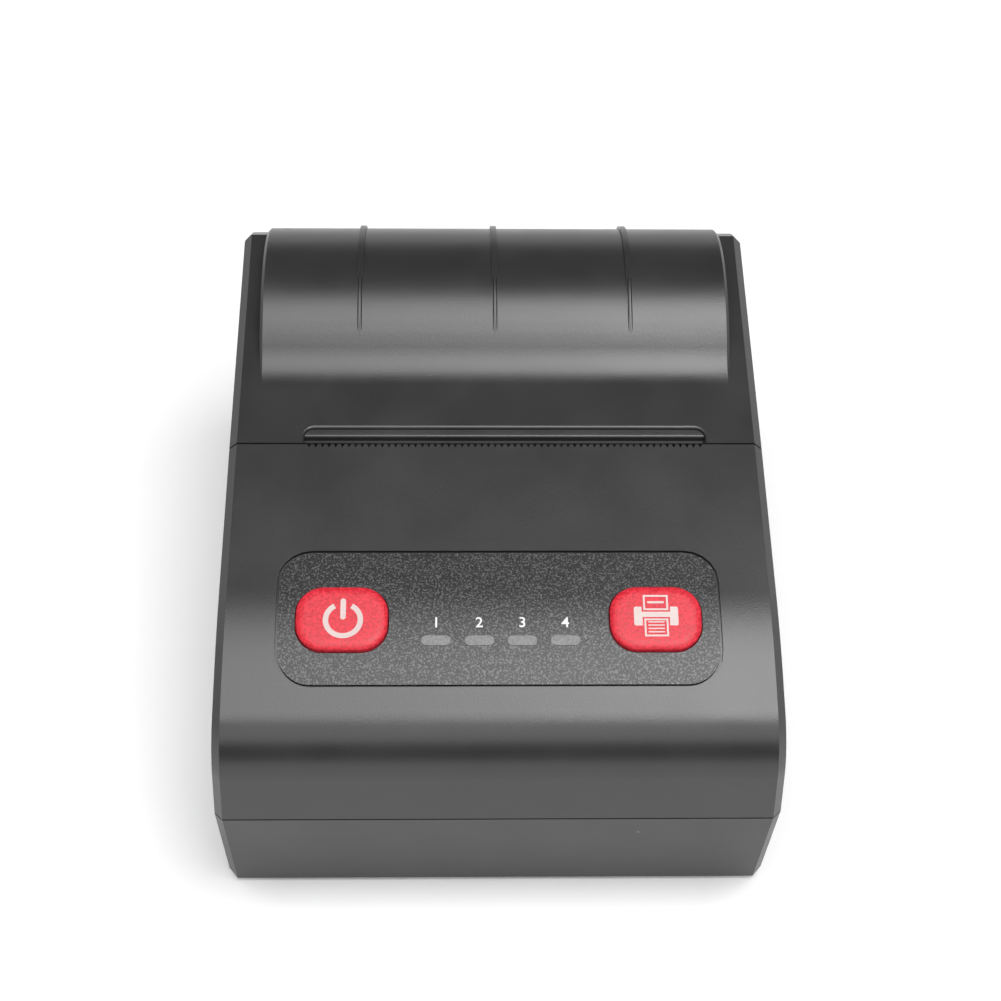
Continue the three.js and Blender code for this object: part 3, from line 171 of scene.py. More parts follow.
# Lower case: a moulded ABS tray. Its steel mould was spark-eroded, which leaves a fine even
# grain, and a few specks of dust lie on it. Its floor takes the feet and the door.
flat_within, edge_above, crease_above = math.radians(0.6), math.radians(28), math.radians(38)
speck_scale, speck_size, speck_rarity = 190.0, 0.03, 0.9
dust_colour = (0.5, 0.49, 0.47, 1)
skin = bpy.data.node_groups.new("moulded_skin", "ShaderNodeTree")
for socket, in_out in (("Grain Scale", "INPUT"), ("Cloud Scale", "INPUT"), ("Height", "OUTPUT"),
                       ("Cloud", "OUTPUT"), ("Specks", "OUTPUT")):
    skin.interface.new_socket(socket, in_out=in_out, socket_type="NodeSocketFloat")
given = knot(skin, "NodeGroupInput")
where = knot(skin, "ShaderNodeTexCoord").outputs["Object"]
pits = knot(skin, "ShaderNodeTexNoise", {"Vector": where, "Scale": given.outputs["Grain Scale"],
                                         "Detail": 3.0, "Roughness": 0.6})
clouds = knot(skin, "ShaderNodeTexNoise", {"Vector": where, "Scale": given.outputs["Cloud Scale"],
                                           "Detail": 3.0, "Roughness": 0.55})
cells = knot(skin, "ShaderNodeTexVoronoi", {"Vector": where, "Scale": speck_scale})
near = reckon(skin, "LESS_THAN", cells.outputs["Distance"], speck_size)
chance = knot(skin, "ShaderNodeSeparateColor", {"Color": cells.outputs["Color"]})
few = reckon(skin, "GREATER_THAN", chance.outputs[0], speck_rarity)
knot(skin, "NodeGroupOutput", {"Height": pits.outputs["Fac"], "Cloud": clouds.outputs["Fac"],
                               "Specks": reckon(skin, "MULTIPLY", near, few)})


def finish(name, dark, light, smooth, rough, grain, depth, cloud=90.0, metal=0.0, level=0.5, dust=0.0,
           middle=0.5, blur=0.2, **own):
    """A material that clouds between two colours and two roughnesses under a fine grain.

    grain and cloud are the scales of the two patterns, per metre, depth is the relief of the
    grain, and the clouds change within blur of their middle. own holds further sockets.
    """
    made = bpy.data.materials.new(name)
    made.use_nodes = True
    tree = made.node_tree
    shader = tree.nodes["Principled BSDF"]
    shader.inputs["Metallic"].default_value = metal
    shader.inputs["Specular IOR Level"].default_value = level
    for socket, value in own.items():
        shader.inputs[socket.replace("_", " ")].default_value = value
    texture = knot(tree, "ShaderNodeGroup", node_tree=skin)
    texture.inputs["Grain Scale"].default_value = grain
    texture.inputs["Cloud Scale"].default_value = cloud
    share = knot(tree, "ShaderNodeMapRange", {"Value": texture.outputs["Cloud"],
                                              "From Min": middle - blur, "From Max": middle + blur})
    tint = knot(tree, "ShaderNodeMix", {"Factor": share.outputs["Result"], "A": (*dark, 1),
                                        "B": (*light, 1)}, data_type="RGBA")
    if dust:
        settled = reckon(tree, "MULTIPLY", texture.outputs["Specks"], dust)
        tint = knot(tree, "ShaderNodeMix", {"Factor": settled, "A": tint.outputs["Result"],
                                            "B": dust_colour}, data_type="RGBA")
    sheen = knot(tree, "ShaderNodeMapRange", {"Value": share.outputs["Result"], "To Min": smooth,
                                              "To Max": rough})
    bump = knot(tree, "ShaderNodeBump", {"Height": texture.outputs["Height"], "Distance": depth})
    tree.links.new(tint.outputs["Result"], shader.inputs["Base Color"])
    tree.links.new(sheen.outputs["Result"], shader.inputs["Roughness"])
    tree.links.new(bump.outputs["Normal"], shader.inputs["Normal"])
    return made


def seat(name, mesh, material, slot, body, *replaced):
    """Puts a finished mesh into the scene as a piece that rides on a body."""
    mesh.materials.clear()
    mesh.materials.append(material)
    piece = bpy.data.objects.new(name, mesh)
    scene.collection.objects.link(piece)
    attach(piece, body)
    if replaced:
        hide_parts(*replaced)
    return piece


def rounded(form, geom, radius, steps, affect="EDGES"):
    """Rounds edges of a form, or the corners of a flat one."""
    bmesh.ops.bevel(form, geom=geom, offset=radius, offset_type="OFFSET", segments=steps, profile=0.5,
                    affect=affect, clamp_overlap=True, material=-1)


def soften(node, material, slot, rounding, weld=0.03):
    """A copy of a node's solid with its sharp edges rounded, which stands for that node."""
    form = bmesh.new()
    form.from_mesh(frame["nodes"][node].data)
    bmesh.ops.remove_doubles(form, verts=form.verts, dist=weld * mm)
    bmesh.ops.dissolve_limit(form, angle_limit=flat_within, verts=form.verts, edges=form.edges)
    sharp = [edge for edge in form.edges if edge.is_manifold and edge.calc_face_angle(0) > edge_above]
    rounded(form, sharp, rounding * mm, steps=2)
    mesh = bpy.data.meshes.new(f"{node}_finished")
    form.to_mesh(mesh)
    form.free()
    if mesh.attributes.get("custom_normal"):
        mesh.attributes.remove(mesh.attributes["custom_normal"])
    mesh.shade_smooth()
    mesh.set_sharp_from_angle(angle=crease_above)
    bodies = frame["record"]["behaviour"]["bodies"]
    body = next(name for name, members in bodies.items() if node in members)
    piece = seat(f"{node}_finished", mesh, material, slot, body, node)
    piece.modifiers.new("even_shading", "WEIGHTED_NORMAL").keep_sharp = True


case_plastic = finish("case_plastic", (0.021, 0.021, 0.0215), (0.027, 0.027, 0.0275), smooth=0.285,
                      rough=0.33, grain=3300.0, depth=0.018 * mm, level=0.75, dust=0.5)
# The tray's plastic is the case plastic painted a little darker, as painted shade on the lower case, and it
# is also duller.
tray_plastic_painted_shade = finish("tray_plastic_painted_shade", (0.018, 0.018, 0.0185), (0.024, 0.024, 0.0245), smooth=0.32,
                      rough=0.4, grain=3300.0, depth=0.018 * mm, dust=0.5)
soften("lower_case", tray_plastic_painted_shade, "case_plastic", rounding=0.15)

# Feet: soft black rubber, moulded with a ring that grips the table, and pressed into shallow
# seats in the floor of the tray.
foot_radius, foot_height = 3.5, 1.7
new_crease_above = math.radians(35)


def turned(section, steps=36):
    """A closed round form: a section of (radius, height) pairs, spun about the upright axis."""
    form = bmesh.new()
    corners = [form.verts.new((radius, 0, height)) for radius, height in section]
    lines = [form.edges.new(pair) for pair in zip(corners, corners[1:])]
    bmesh.ops.spin(form, geom=corners + lines, cent=(0, 0, 0), axis=(0, 0, 1), angle=math.tau,
                   steps=steps, use_merge=True)
    bmesh.ops.remove_doubles(form, verts=form.verts, dist=0.001)
    return form


def shaped(name, form, place=Matrix()):
    """Turns a form in millimetres into a mesh in metres at its place, with its faces outwards."""
    bmesh.ops.transform(form, matrix=Matrix.Scale(mm, 4) @ place, verts=form.verts)
    bmesh.ops.recalc_face_normals(form, faces=form.faces)
    mesh = bpy.data.meshes.new(name)
    form.to_mesh(mesh)
    form.free()
    mesh.shade_smooth()
    mesh.set_sharp_from_angle(angle=new_crease_above)
    return mesh


foot_rubber = finish("foot_rubber", (0.012, 0.012, 0.012), (0.021, 0.021, 0.02), smooth=0.75, rough=0.9,
                     grain=2600.0, depth=0.04 * mm, dust=0.4)
foot_section = ((0, 0.35), (1.7, 0.35), (2.0, 0), (3.1, 0), (3.4, 0.12), (foot_radius, 0.4),
                (foot_radius, foot_height), (0, foot_height))
for number, (x, y) in enumerate(((-31, -33), (31, -33), (-31, 38), (31, 38)), 1):
    name = f"foot_{number}_turned"
    mesh = shaped(name, turned(foot_section), Matrix.Translation((x, y, 0)))
    seat(name, mesh, foot_rubber, "foot_rubber", "body", f"foot_{number}")

# Battery: two cells in a blue shrink sleeve under the bucket. Its door of case plastic hooks
# in at the rear, takes one screw at its front tab, and has five small ribs as a grip.
battery_wrap = finish("battery_wrap", (0.012, 0.045, 0.15), (0.02, 0.062, 0.2), smooth=0.28, rough=0.38,
                      grain=700.0, depth=0.05 * mm, cloud=60.0)
soften("battery_pack", battery_wrap, "battery_wrap", rounding=1.2)
soften("battery_door", case_plastic, "case_plastic", rounding=0.15)


def rectangle(form, width, depth, x=0, y=0, z=0):
    """Adds a flat rectangle about a point to a form, and gives its corners."""
    corners = [form.verts.new((x + side * width / 2, y + end * depth / 2, z))
               for side, end in ((-1, -1), (1, -1), (1, 1), (-1, 1))]
    form.faces.new(corners)
    return corners


def drawn_out(form, faces, along):
    """Extrudes faces of a form along a vector, and gives the faces at the far end."""
    made = bmesh.ops.extrude_face_region(form, geom=faces)["geom"]
    bmesh.ops.translate(form, vec=along, verts=[v for v in made if isinstance(v, bmesh.types.BMVert)])
    return [f for f in made if isinstance(f, bmesh.types.BMFace)]


def plate(width, depth, thickness, corner, rim=0.0):
    """A flat plate with rounded corners, standing on its own plane, with its upper rim rounded."""
    form = bmesh.new()
    rounded(form, rectangle(form, width, depth), corner, steps=5, affect="VERTICES")
    drawn_out(form, form.faces[:], (0, 0, thickness))
    if rim:
        top = [e for e in form.edges if all(v.co.z > thickness - 1e-6 for v in e.verts)]
        rounded(form, top, rim, steps=3)
    return form


def joined(*parts):
    """One form made of several, each given as (form, place)."""
    whole = bmesh.new()
    for part, place in parts:
        bmesh.ops.transform(part, matrix=place, verts=part.verts)
        carrier = bpy.data.meshes.new("carrier")
        part.to_mesh(carrier)
        part.free()
        whole.from_mesh(carrier)
        bpy.data.meshes.remove(carrier)
    return whole


underside = Matrix.Rotation(math.pi, 4, "X")
grip_y, grip_pitch, grip_root = 17, 2, 1.05
grip_ribs = joined(*((plate(20 - 3 * abs(step), 0.9, thickness=0.35, corner=0.4, rim=0.15),
                      Matrix.Translation((0, grip_y + grip_pitch * step, grip_root)) @ underside)
                     for step in range(-2, 3)))
seat("battery_door_grip", shaped("battery_door_grip", grip_ribs), case_plastic, "case_plastic", "body")

# Main board: a green laminate on four posts, with the charging socket, the radio's can, the
# white plug of the battery and small parts soldered to its upper side.
laminate = finish("laminate", (0.006, 0.06, 0.02), (0.012, 0.1, 0.034), smooth=0.28, rough=0.42,
                  grain=900.0, depth=0.01 * mm, cloud=420.0)
tin_plate = finish("tin_plate", (0.5, 0.5, 0.5), (0.62, 0.62, 0.61), smooth=0.28, rough=0.36,
                   grain=1500.0, depth=0.006 * mm, cloud=120.0, metal=1.0)
acetal = finish("acetal", (0.7, 0.68, 0.62), (0.78, 0.76, 0.7), smooth=0.35, rough=0.5, grain=2200.0,
                depth=0.012 * mm)
chip_black = finish("chip_black", (0.008, 0.008, 0.008), (0.014, 0.014, 0.014), smooth=0.4, rough=0.55,
                    grain=3600.0, depth=0.02 * mm)
gold_plate = finish("gold_plate", (0.75, 0.5, 0.16), (0.86, 0.6, 0.22), smooth=0.28, rough=0.36,
                    grain=1500.0, depth=0.005 * mm, cloud=300.0, metal=1.0)
soften("main_board", laminate, "circuit_board", rounding=0.06)
soften("charging_socket", tin_plate, "steel", rounding=0.05)
soften("radio_module", tin_plate, "steel", rounding=0.15)
soften("battery_plug", acetal, "white_plastic", rounding=0.2)
part_foot = 9.15
big_chip_x, big_chip_y, big_chip_size = 6, -30, 9
chips = joined(*((plate(width, depth, thickness=1.1, corner=0.2, rim=0.12),
                  Matrix.Translation((x, y, part_foot)))
                 for x, y, width, depth in ((big_chip_x, big_chip_y, big_chip_size, big_chip_size),
                                            (-16, -36, 6, 5), (17, -34, 4, 5), (-2, -20, 4, 3))))
seat("main_board_chips", shaped("main_board_chips", chips), chip_black, "circuit_board", "body")
legs = [(plate(0.4, big_chip_size + 1.6, thickness=0.25, corner=0.1),
         Matrix.Translation((big_chip_x + step * 0.8, big_chip_y, part_foot))) for step in range(-4, 5)]
dots = [(plate(1.0, 0.5, thickness=0.45, corner=0.1),
         Matrix.Translation((-26 + 2.1 * step, -40.5 + 0.6 * (step % 3), part_foot)))
        for step in range(24)]
seat("main_board_solder", shaped("main_board_solder", joined(*legs, *dots)), tin_plate, "steel", "body")
pads = joined(*((plate(0.55, 1.8, thickness=0.12, corner=0.15),
                 Matrix.Translation((-7 + step, -15.6, part_foot))) for step in range(17)))
seat("main_board_pads", shaped("main_board_pads", pads), gold_plate, "steel", "body")

# Paper bucket: a black nylon trough that the roll turns in, screwed to the floor through two
# side tabs, with the paper sensor at its lip and the cover sensor beside the right plate.
black_nylon = finish("black_nylon", (0.009, 0.009, 0.009), (0.014, 0.014, 0.014), smooth=0.38, rough=0.5,
                     grain=3000.0, depth=0.02 * mm)
soften("paper_bucket", black_nylon, "inner_plastic", rounding=0.2, weld=0.05)
soften("paper_sensor", black_nylon, "inner_plastic", rounding=0.2)
soften("cover_sensor", black_nylon, "inner_plastic", rounding=0.2)

# Mechanism frame: pressed and zinc-plated sheet steel with a front bar. The stepper motor is
# bolted inside its left plate, and the gears run on the outside of it.
plated_steel = finish("plated_steel", (0.4, 0.4, 0.41), (0.56, 0.56, 0.57), smooth=0.28, rough=0.4,
                      grain=1200.0, depth=0.008 * mm, cloud=140.0, metal=1.0)
dark_steel = finish("dark_steel", (0.16, 0.16, 0.165), (0.24, 0.24, 0.245), smooth=0.28, rough=0.38,
                    grain=1500.0, depth=0.008 * mm, cloud=160.0, metal=1.0)
soften("mechanism_frame", plated_steel, "steel", rounding=0.12)
soften("stepper_motor", dark_steel, "steel", rounding=0.3)
soften("gear_axle", plated_steel, "steel", rounding=0.15)
soften("motor_pinion", plated_steel, "steel", rounding=0.05)
soften("reduction_gear", acetal, "white_plastic", rounding=0.06)

# Print head: an extruded heat sink that turns on a steel pin, the glazed ceramic strip with
# its heater line and its drivers under black resin, two coil springs and the amber cable.
satin_aluminium = finish("satin_aluminium", (0.58, 0.58, 0.59), (0.7, 0.7, 0.71), smooth=0.3, rough=0.42,
                         grain=1800.0, depth=0.01 * mm, cloud=200.0, metal=1.0)
glazed_ceramic = finish("glazed_ceramic", (0.72, 0.7, 0.62), (0.8, 0.78, 0.7), smooth=0.12, rough=0.2,
                        grain=900.0, depth=0.004 * mm)
amber_film = finish("amber_film", (0.3, 0.1, 0.015), (0.42, 0.15, 0.03), smooth=0.28, rough=0.34,
                    grain=900.0, depth=0.01 * mm)
soften("head_heat_sink", satin_aluminium, "aluminium", rounding=0.15)
soften("thermal_head", glazed_ceramic, "head_ceramic", rounding=0.12)
soften("head_pivot_pin", plated_steel, "steel", rounding=0.15)
soften("head_spring_left", plated_steel, "steel", rounding=0.02)
soften("head_spring_right", plated_steel, "steel", rounding=0.02)
soften("head_flex_cable", amber_film, "flex_film", rounding=0.03)
head_middle_x, head_face_y, heater_height, resin_height = 1.3, -0.52, 38.5, 36.6
head_face = Matrix.Translation((head_middle_x, head_face_y, 0)) @ Matrix.Rotation(math.radians(-90), 4, "X")
heater = plate(47.6, 0.7, thickness=0.1, corner=0.3, rim=0.06)
heater_place = head_face @ Matrix.Translation((0, -heater_height, 0))
seat("heater_line", shaped("heater_line", heater, heater_place), chip_black, "head_ceramic", "head")
resin = plate(44, 1.3, thickness=0.4, corner=0.6, rim=0.3)
resin_place = head_face @ Matrix.Translation((0, -resin_height, 0))
seat("driver_resin", shaped("driver_resin", resin, resin_place), chip_black, "head_ceramic", "head")

# Front shell: the deck and the front face, moulded in one in the plastic of the tray. Along
# its rear edge a row of small notches tears the paper, and four bosses take the case screws.
soften("front_shell", case_plastic, "case_plastic", rounding=0.14)

# Panel film: a black polyester sheet with a coarse sparkling grain, its sparkle partly painted
# as light specks in its colour, glued into a shallow recess of the deck, flat at the rear and
# bent down towards the front. The numbers above the light windows are printed on it in white.
film_width, film_depth, film_corner, film_thickness = 63.24, 20.14, 4.67, 0.34
film_middle_y = -30.2
film_front, film_rear = film_middle_y - film_depth / 2, film_middle_y + film_depth / 2
film_lean_rear, film_lean_front, film_flat, film_bend_y, film_bend_radius = 10.4, 21.6, 9.5, -26.6, 60
film_slice, film_gap, film_proud = 0.8, 0.1, 0.03
uncut_x = 13.2
key_width, key_depth, key_corner, key_gap = 13.2, 9.9, 4.0, 0.16
key_places = (("power", -22.5), ("feed", 22.5))
lamp_width, lamp_depth, lamp_corner, lamp_row, lamp_pitch, lamp_middle = 4.3, 1.6, 0.76, -3.2, 6.17, 0.25
lamp_places = [lamp_middle + (index - 1.5) * lamp_pitch for index in range(4)]
panel_middle = (0, -31, 42.333)
panel_tilt = math.radians(13.96)
panel = Matrix.Translation(panel_middle) @ Matrix.Rotation(panel_tilt, 4, "X")
down = Vector((0, 0, -1))
# The sparse light grey specks in the black are painted sparkle: they stand in for glints off the grain,
# besides its bumps.
film_black = finish("film_black", (0.0003, 0.0003, 0.0004), (0.1, 0.1, 0.103), smooth=0.34, rough=0.28,
                    grain=3400.0, depth=0.04 * mm, cloud=3500.0, level=0.6, middle=0.55, blur=0.03)
white_ink = finish("white_ink", (0.78, 0.78, 0.78), (0.86, 0.86, 0.86), smooth=0.4, rough=0.5,
                   grain=4000.0, depth=0.01 * mm)


def rounded_loop(form, x, y, width, depth, corner):
    """Adds the outline of a rectangle with rounded corners to a form, as a closed line."""
    rounded(form, rectangle(form, width, depth, x, y), corner, steps=8, affect="VERTICES")
    bmesh.ops.delete(form, geom=form.faces[:], context="FACES_ONLY")


def solid_surface(node, view=Matrix()):
    """The surface of a node's solid, in millimetres and in the frame of a view, to drop points on."""
    solid = bmesh.new()
    solid.from_mesh(frame["nodes"][node].data)
    bmesh.ops.transform(solid, matrix=view @ Matrix.Scale(1 / mm, 4), verts=solid.verts)
    surface = BVHTree.FromBMesh(solid)
    solid.free()
    return surface


film_top = solid_surface("control_overlay")


def film_level(y):
    """The height of the film's solid at y, in a row that no opening cuts, or None beyond its ends."""
    hit = film_top.ray_cast(Vector((uncut_x, y, 60)), down)[0]
    return None if hit is None else hit.z


film = bmesh.new()
rounded_loop(film, 0, film_middle_y, film_width, film_depth, film_corner)
for key, x in key_places:
    rounded_loop(film, x, panel_middle[1] + 0.1, key_width + 2 * key_gap,
                 (key_depth + 2 * key_gap) * math.cos(panel_tilt), key_corner)
for x in lamp_places:
    row = panel @ Vector((x, lamp_row, 0))
    rounded_loop(film, x, row.y, lamp_width - film_gap, (lamp_depth - film_gap) * math.cos(panel_tilt),
                 lamp_corner)
bmesh.ops.triangle_fill(film, use_beauty=True, use_dissolve=False, edges=film.edges[:])
cut_y = film_front + film_slice
while cut_y < film_rear:
    bmesh.ops.bisect_plane(film, geom=film.verts[:] + film.edges[:] + film.faces[:], dist=1e-4,
                           plane_co=(0, cut_y, 0), plane_no=(0, 1, 0))
    cut_y += film_slice
if sum(face.normal.z for face in film.faces) < 0:
    bmesh.ops.reverse_faces(film, faces=film.faces)
drawn_out(film, film.faces[:], (0, 0, film_thickness))
bmesh.ops.recalc_face_normals(film, faces=film.faces)
upper = [vert.co.z > film_thickness - 1e-4 for vert in film.verts]
for vert in film.verts:
    levels = [film_level(vert.co.y + near) for near in range(-2, 3)]
    if None in levels:
        end_y = max(film_front + 0.01, min(film_rear - 0.01, vert.co.y))
        lean = film_lean_rear if vert.co.y > film_middle_y else film_lean_front
        level = film_level(end_y) + (vert.co.y - end_y) * math.tan(math.radians(lean))
    else:
        level = sum(levels) / len(levels)
    vert.co.z += level + film_proud - film_thickness
film_mesh = shaped("panel_film_sheet", film)
normals = [Vector(corner.vector) for corner in film_mesh.corner_normals]
for face in film_mesh.polygons:
    if all(upper[index] for index in face.vertices):
        for loop in face.loop_indices:
            y = film_mesh.vertices[film_mesh.loops[loop].vertex_index].co.y / mm
            lean = math.asin(math.sin(math.radians(film_flat)) + max(0, film_bend_y - y) / film_bend_radius)
            normals[loop] = Vector((0, -math.sin(lean), math.cos(lean)))
film_mesh.normals_split_custom_set(normals)
seat("panel_film_sheet", film_mesh, film_black, "panel_film", "body", "control_overlay")
ink_thickness = 0.03
numeral_height, numeral_weight, numeral_row, numeral_proud = 1.6, 0.012, -0.4, 0.06


def printed(form, surface, proud=0.03):
    """Drops a flat print onto a surface below it and gives it the thickness of a layer of ink."""
    bmesh.ops.triangulate(form, faces=form.faces)
    bmesh.ops.subdivide_edges(form, edges=[e for e in form.edges if e.calc_length() > 0.5], cuts=2)
    bmesh.ops.triangulate(form, faces=form.faces)
    for vert in form.verts:
        vert.co.z = surface.ray_cast(Vector((vert.co.x, vert.co.y, 50)), down)[0].z + proud
    bmesh.ops.recalc_face_normals(form, faces=form.faces)
    if sum(face.normal.z for face in form.faces) < 0:
        bmesh.ops.reverse_faces(form, faces=form.faces)
    bmesh.ops.solidify(form, geom=form.faces[:], thickness=ink_thickness)
    return form


film_surface = solid_surface("control_overlay", panel.inverted())
for number, x in enumerate(lamp_places, 1):
    name = f"numeral_{number}"
    letter_curve = bpy.data.curves.new(name, "FONT")
    letter_curve.body = str(number)
    letter_curve.offset = numeral_weight
    letter = bpy.data.objects.new(name, letter_curve)
    flat = bpy.data.meshes.new_from_object(letter)
    bpy.data.objects.remove(letter)
    form = bmesh.new()
    form.from_mesh(flat)
    bmesh.ops.remove_doubles(form, verts=form.verts, dist=1e-5)
    low = Vector(min(v.co[axis] for v in form.verts) for axis in range(3))
    high = Vector(max(v.co[axis] for v in form.verts) for axis in range(3))
    size = Matrix.Scale(numeral_height / (high.y - low.y), 4)
    bmesh.ops.translate(form, vec=-(low + high) / 2, verts=form.verts)
    bmesh.ops.transform(form, matrix=Matrix.Translation((x, numeral_row, 0)) @ size, verts=form.verts)
    mesh = shaped(name, printed(form, film_surface, numeral_proud), panel)
    seat(name, mesh, white_ink, "panel_film", "body")

# Key board: a laminate under the panel with a tactile switch below each key and a white
# light chip below each window.
soften("key_board", laminate, "circuit_board", rounding=0.06)
soften("power_switch", tin_plate, "steel", rounding=0.12)
soften("feed_switch", tin_plate, "steel", rounding=0.12)

# Keys: pillow-shaped caps moulded in red, a little translucent, with a fine grain. Each has
# a flange that holds it behind the deck, and a sign printed on it in white.
key_top, key_foot = 0.9, -3.4
pillow_reach, pillow_rise, pillow_steps = 1.5, 0.62, 8
flange_width, flange_thickness = 1.2, 1
key_red = finish("key_red", (0.62, 0.012, 0.03), (0.86, 0.035, 0.06), smooth=0.36, rough=0.5,
                 grain=2500.0, depth=0.05 * mm, cloud=2300.0, blur=0.1, Subsurface_Weight=0.1,
                 Subsurface_Radius=(0.9, 0.25, 0.2), Subsurface_Scale=0.001)
sign_white = finish("sign_white", (0.7, 0.56, 0.54), (0.78, 0.65, 0.62), smooth=0.4, rough=0.5,
                    grain=4000.0, depth=0.01 * mm)


def key_cap():
    """The cap of a key, about the middle of the key, in the panel's frame."""
    form = bmesh.new()
    outline = rectangle(form, key_width, key_depth, z=key_foot)
    rounded(form, outline, key_corner, steps=9, affect="VERTICES")
    top = drawn_out(form, form.faces[:], (0, 0, key_top - pillow_rise - key_foot))
    done_in, done_up = 0, 0
    for step in range(1, pillow_steps + 1):
        turn = math.pi / 2 * step / pillow_steps
        reach, rise = pillow_reach * (1 - math.cos(turn)), pillow_rise * math.sin(turn)
        bmesh.ops.inset_region(form, faces=top, thickness=reach - done_in, use_even_offset=True)
        bmesh.ops.translate(form, vec=(0, 0, rise - done_up), verts=list({v for f in top for v in f.verts}))
        done_in, done_up = reach, rise
    return form


def frame_sign(width, depth, stroke, middle):
    """A flat rectangular frame."""
    form = bmesh.new()
    rectangle(form, width, depth, y=middle)
    form.normal_update()
    inner = form.faces[:]
    bmesh.ops.inset_region(form, faces=inner, thickness=stroke, use_even_offset=True, use_boundary=True)
    bmesh.ops.delete(form, geom=inner, context="FACES_ONLY")
    return form


def bar_sign(width, depth, middle, rounding=0.1):
    """A flat bar with rounded ends."""
    form = bmesh.new()
    rounded(form, rectangle(form, width, depth, y=middle), rounding, steps=4, affect="VERTICES")
    return form


def power_sign():
    """An open ring with an upright stroke in its gap."""
    ring = bmesh.new()
    gap, inner, outer = math.radians(29), 2.1, 2.88
    ends = [ring.verts.new((radius * math.sin(gap), radius * math.cos(gap), 0)) for radius in (inner, outer)]
    line = ring.edges.new(ends)
    bmesh.ops.spin(ring, geom=ends + [line], cent=(0, 0, 0), axis=(0, 0, -1), angle=math.tau - 2 * gap,
                   steps=44)
    stroke = bar_sign(0.78, 3.3, middle=1.7, rounding=0.35)
    lowered = Matrix.Translation((0.2, -0.45, 0))
    return joined((ring, lowered), (stroke, lowered))


def feed_sign():
    """A printer: a body with a sheet going in above and a printed sheet coming out below."""
    body = bmesh.new()
    outline = ((-3.18, -1.4), (-1.95, -1.4), (-1.95, -0.08), (1.95, -0.08), (1.95, -1.4), (3.18, -1.4),
               (3.18, 1.55), (2.05, 1.55), (2.05, 0.75), (-2.05, 0.75), (-2.05, 1.55), (-3.18, 1.55))
    corners = [body.verts.new((x, y, 0)) for x, y in outline]
    body.faces.new(corners)
    outer = [corner for corner, (x, y) in zip(corners, outline) if abs(x) > 3]
    rounded(body, outer, 0.25, steps=3, affect="VERTICES")
    going_in = [frame_sign(3.6, 2.4, stroke=0.27, middle=2.2), bar_sign(2.4, 0.34, middle=2.25)]
    coming_out = [frame_sign(3.45, 2.8, stroke=0.27, middle=-1.72)]
    coming_out += [bar_sign(2.35, 0.2, middle, rounding=0.06) for middle in (-0.85, -1.35, -1.87, -2.4)]
    return joined(*((part, Matrix()) for part in [body, *going_in, *coming_out]))


for (name, x), sign in zip(key_places, (power_sign(), feed_sign())):
    cap = key_cap()
    key_surface = BVHTree.FromBMesh(cap)
    place = panel @ Matrix.Translation((x, 0, 0))
    flange = plate(key_width + 2 * flange_width, key_depth + 2 * flange_width, flange_thickness,
                   key_corner + flange_width, rim=0.2)
    whole = joined((cap, Matrix()), (flange, Matrix.Translation((0, 0, key_foot))))
    cap_mesh = shaped(f"{name}_key_cap", whole, place)
    seat(f"{name}_key_cap", cap_mesh, key_red, "key_red", f"{name}_key", f"{name}_button")
    sign_mesh = shaped(f"{name}_sign", printed(sign, key_surface), place)
    seat(f"{name}_sign", sign_mesh, sign_white, "key_red", f"{name}_key")

# Light windows: pill-shaped pipes of pale grey diffusing plastic that carry the light of four
# chips up to the film, and end flush with it.
lamp_grey = finish("lamp_grey", (0.19, 0.19, 0.19), (0.27, 0.27, 0.27), smooth=0.35, rough=0.45,
                   grain=3600.0, depth=0.03 * mm, cloud=2600.0, blur=0.1)
for number in range(1, 5):
    soften(f"led_window_{number}", lamp_grey, "lamp_window", rounding=0.12)
    soften(f"led_chip_{number}", acetal, "white_plastic", rounding=0.06)

# Roll cover: the drum over the paper roll, its fins, the flat shoulder and the hinge barrel,
# moulded in one and turning on a long steel pin. Ribs stiffen the drum from inside.
drum_middle_y, drum_middle_z, drum_radius = 29.45, 35.1, 21.6
soften("cover_shell", case_plastic, "case_plastic", rounding=0.14)
soften("hinge_pin", plated_steel, "steel", rounding=0.2)


def drum_point(x, radius, turn):
    """A point at x, at a radius and an angle in degrees about the drum's axis."""
    return (x, drum_middle_y + radius * math.cos(math.radians(turn)),
            drum_middle_z + radius * math.sin(math.radians(turn)))


def drum_sweep(form, section, start, end, steps):
    """Sweeps a section of (x, radius) pairs about the drum's axis, from one angle to another."""
    corners = [form.verts.new(drum_point(x, radius, start)) for x, radius in section]
    bmesh.ops.spin(form, geom=[form.faces.new(corners)], cent=(0, drum_middle_y, drum_middle_z),
                   axis=(1, 0, 0), angle=math.radians(end - start), steps=steps)


rib_inner, rib_outer, rib_half_width = 18.7, 20.2, 0.5
ribs = bmesh.new()
for x in (-31.5, -10.5, 10.5, 31.5):
    left, right = x - rib_half_width, x + rib_half_width
    drum_sweep(ribs, ((left, rib_inner), (right, rib_inner), (right, rib_outer), (left, rib_outer)),
               start=32, end=138, steps=30)
seat("drum_ribs", shaped("drum_ribs", ribs), case_plastic, "case_plastic", "cover")
# Painted shadow: a near-black material for thin strips lying on the drum, which stand in for the shade at
# the feet of the fins.
fin_shadow_black = finish("fin_shadow_black", (0.003, 0.003, 0.003), (0.006, 0.006, 0.006), smooth=0.7,
                      rough=0.85, grain=3000.0, depth=0.01 * mm, level=0.2)
fin_places, fin_offset, fin_radius, fin_turn = (-21, 0, 21), 0.97, 21.13, 62
strip_foot, strip_crest, strip_sunk = 20, 23, 0.25


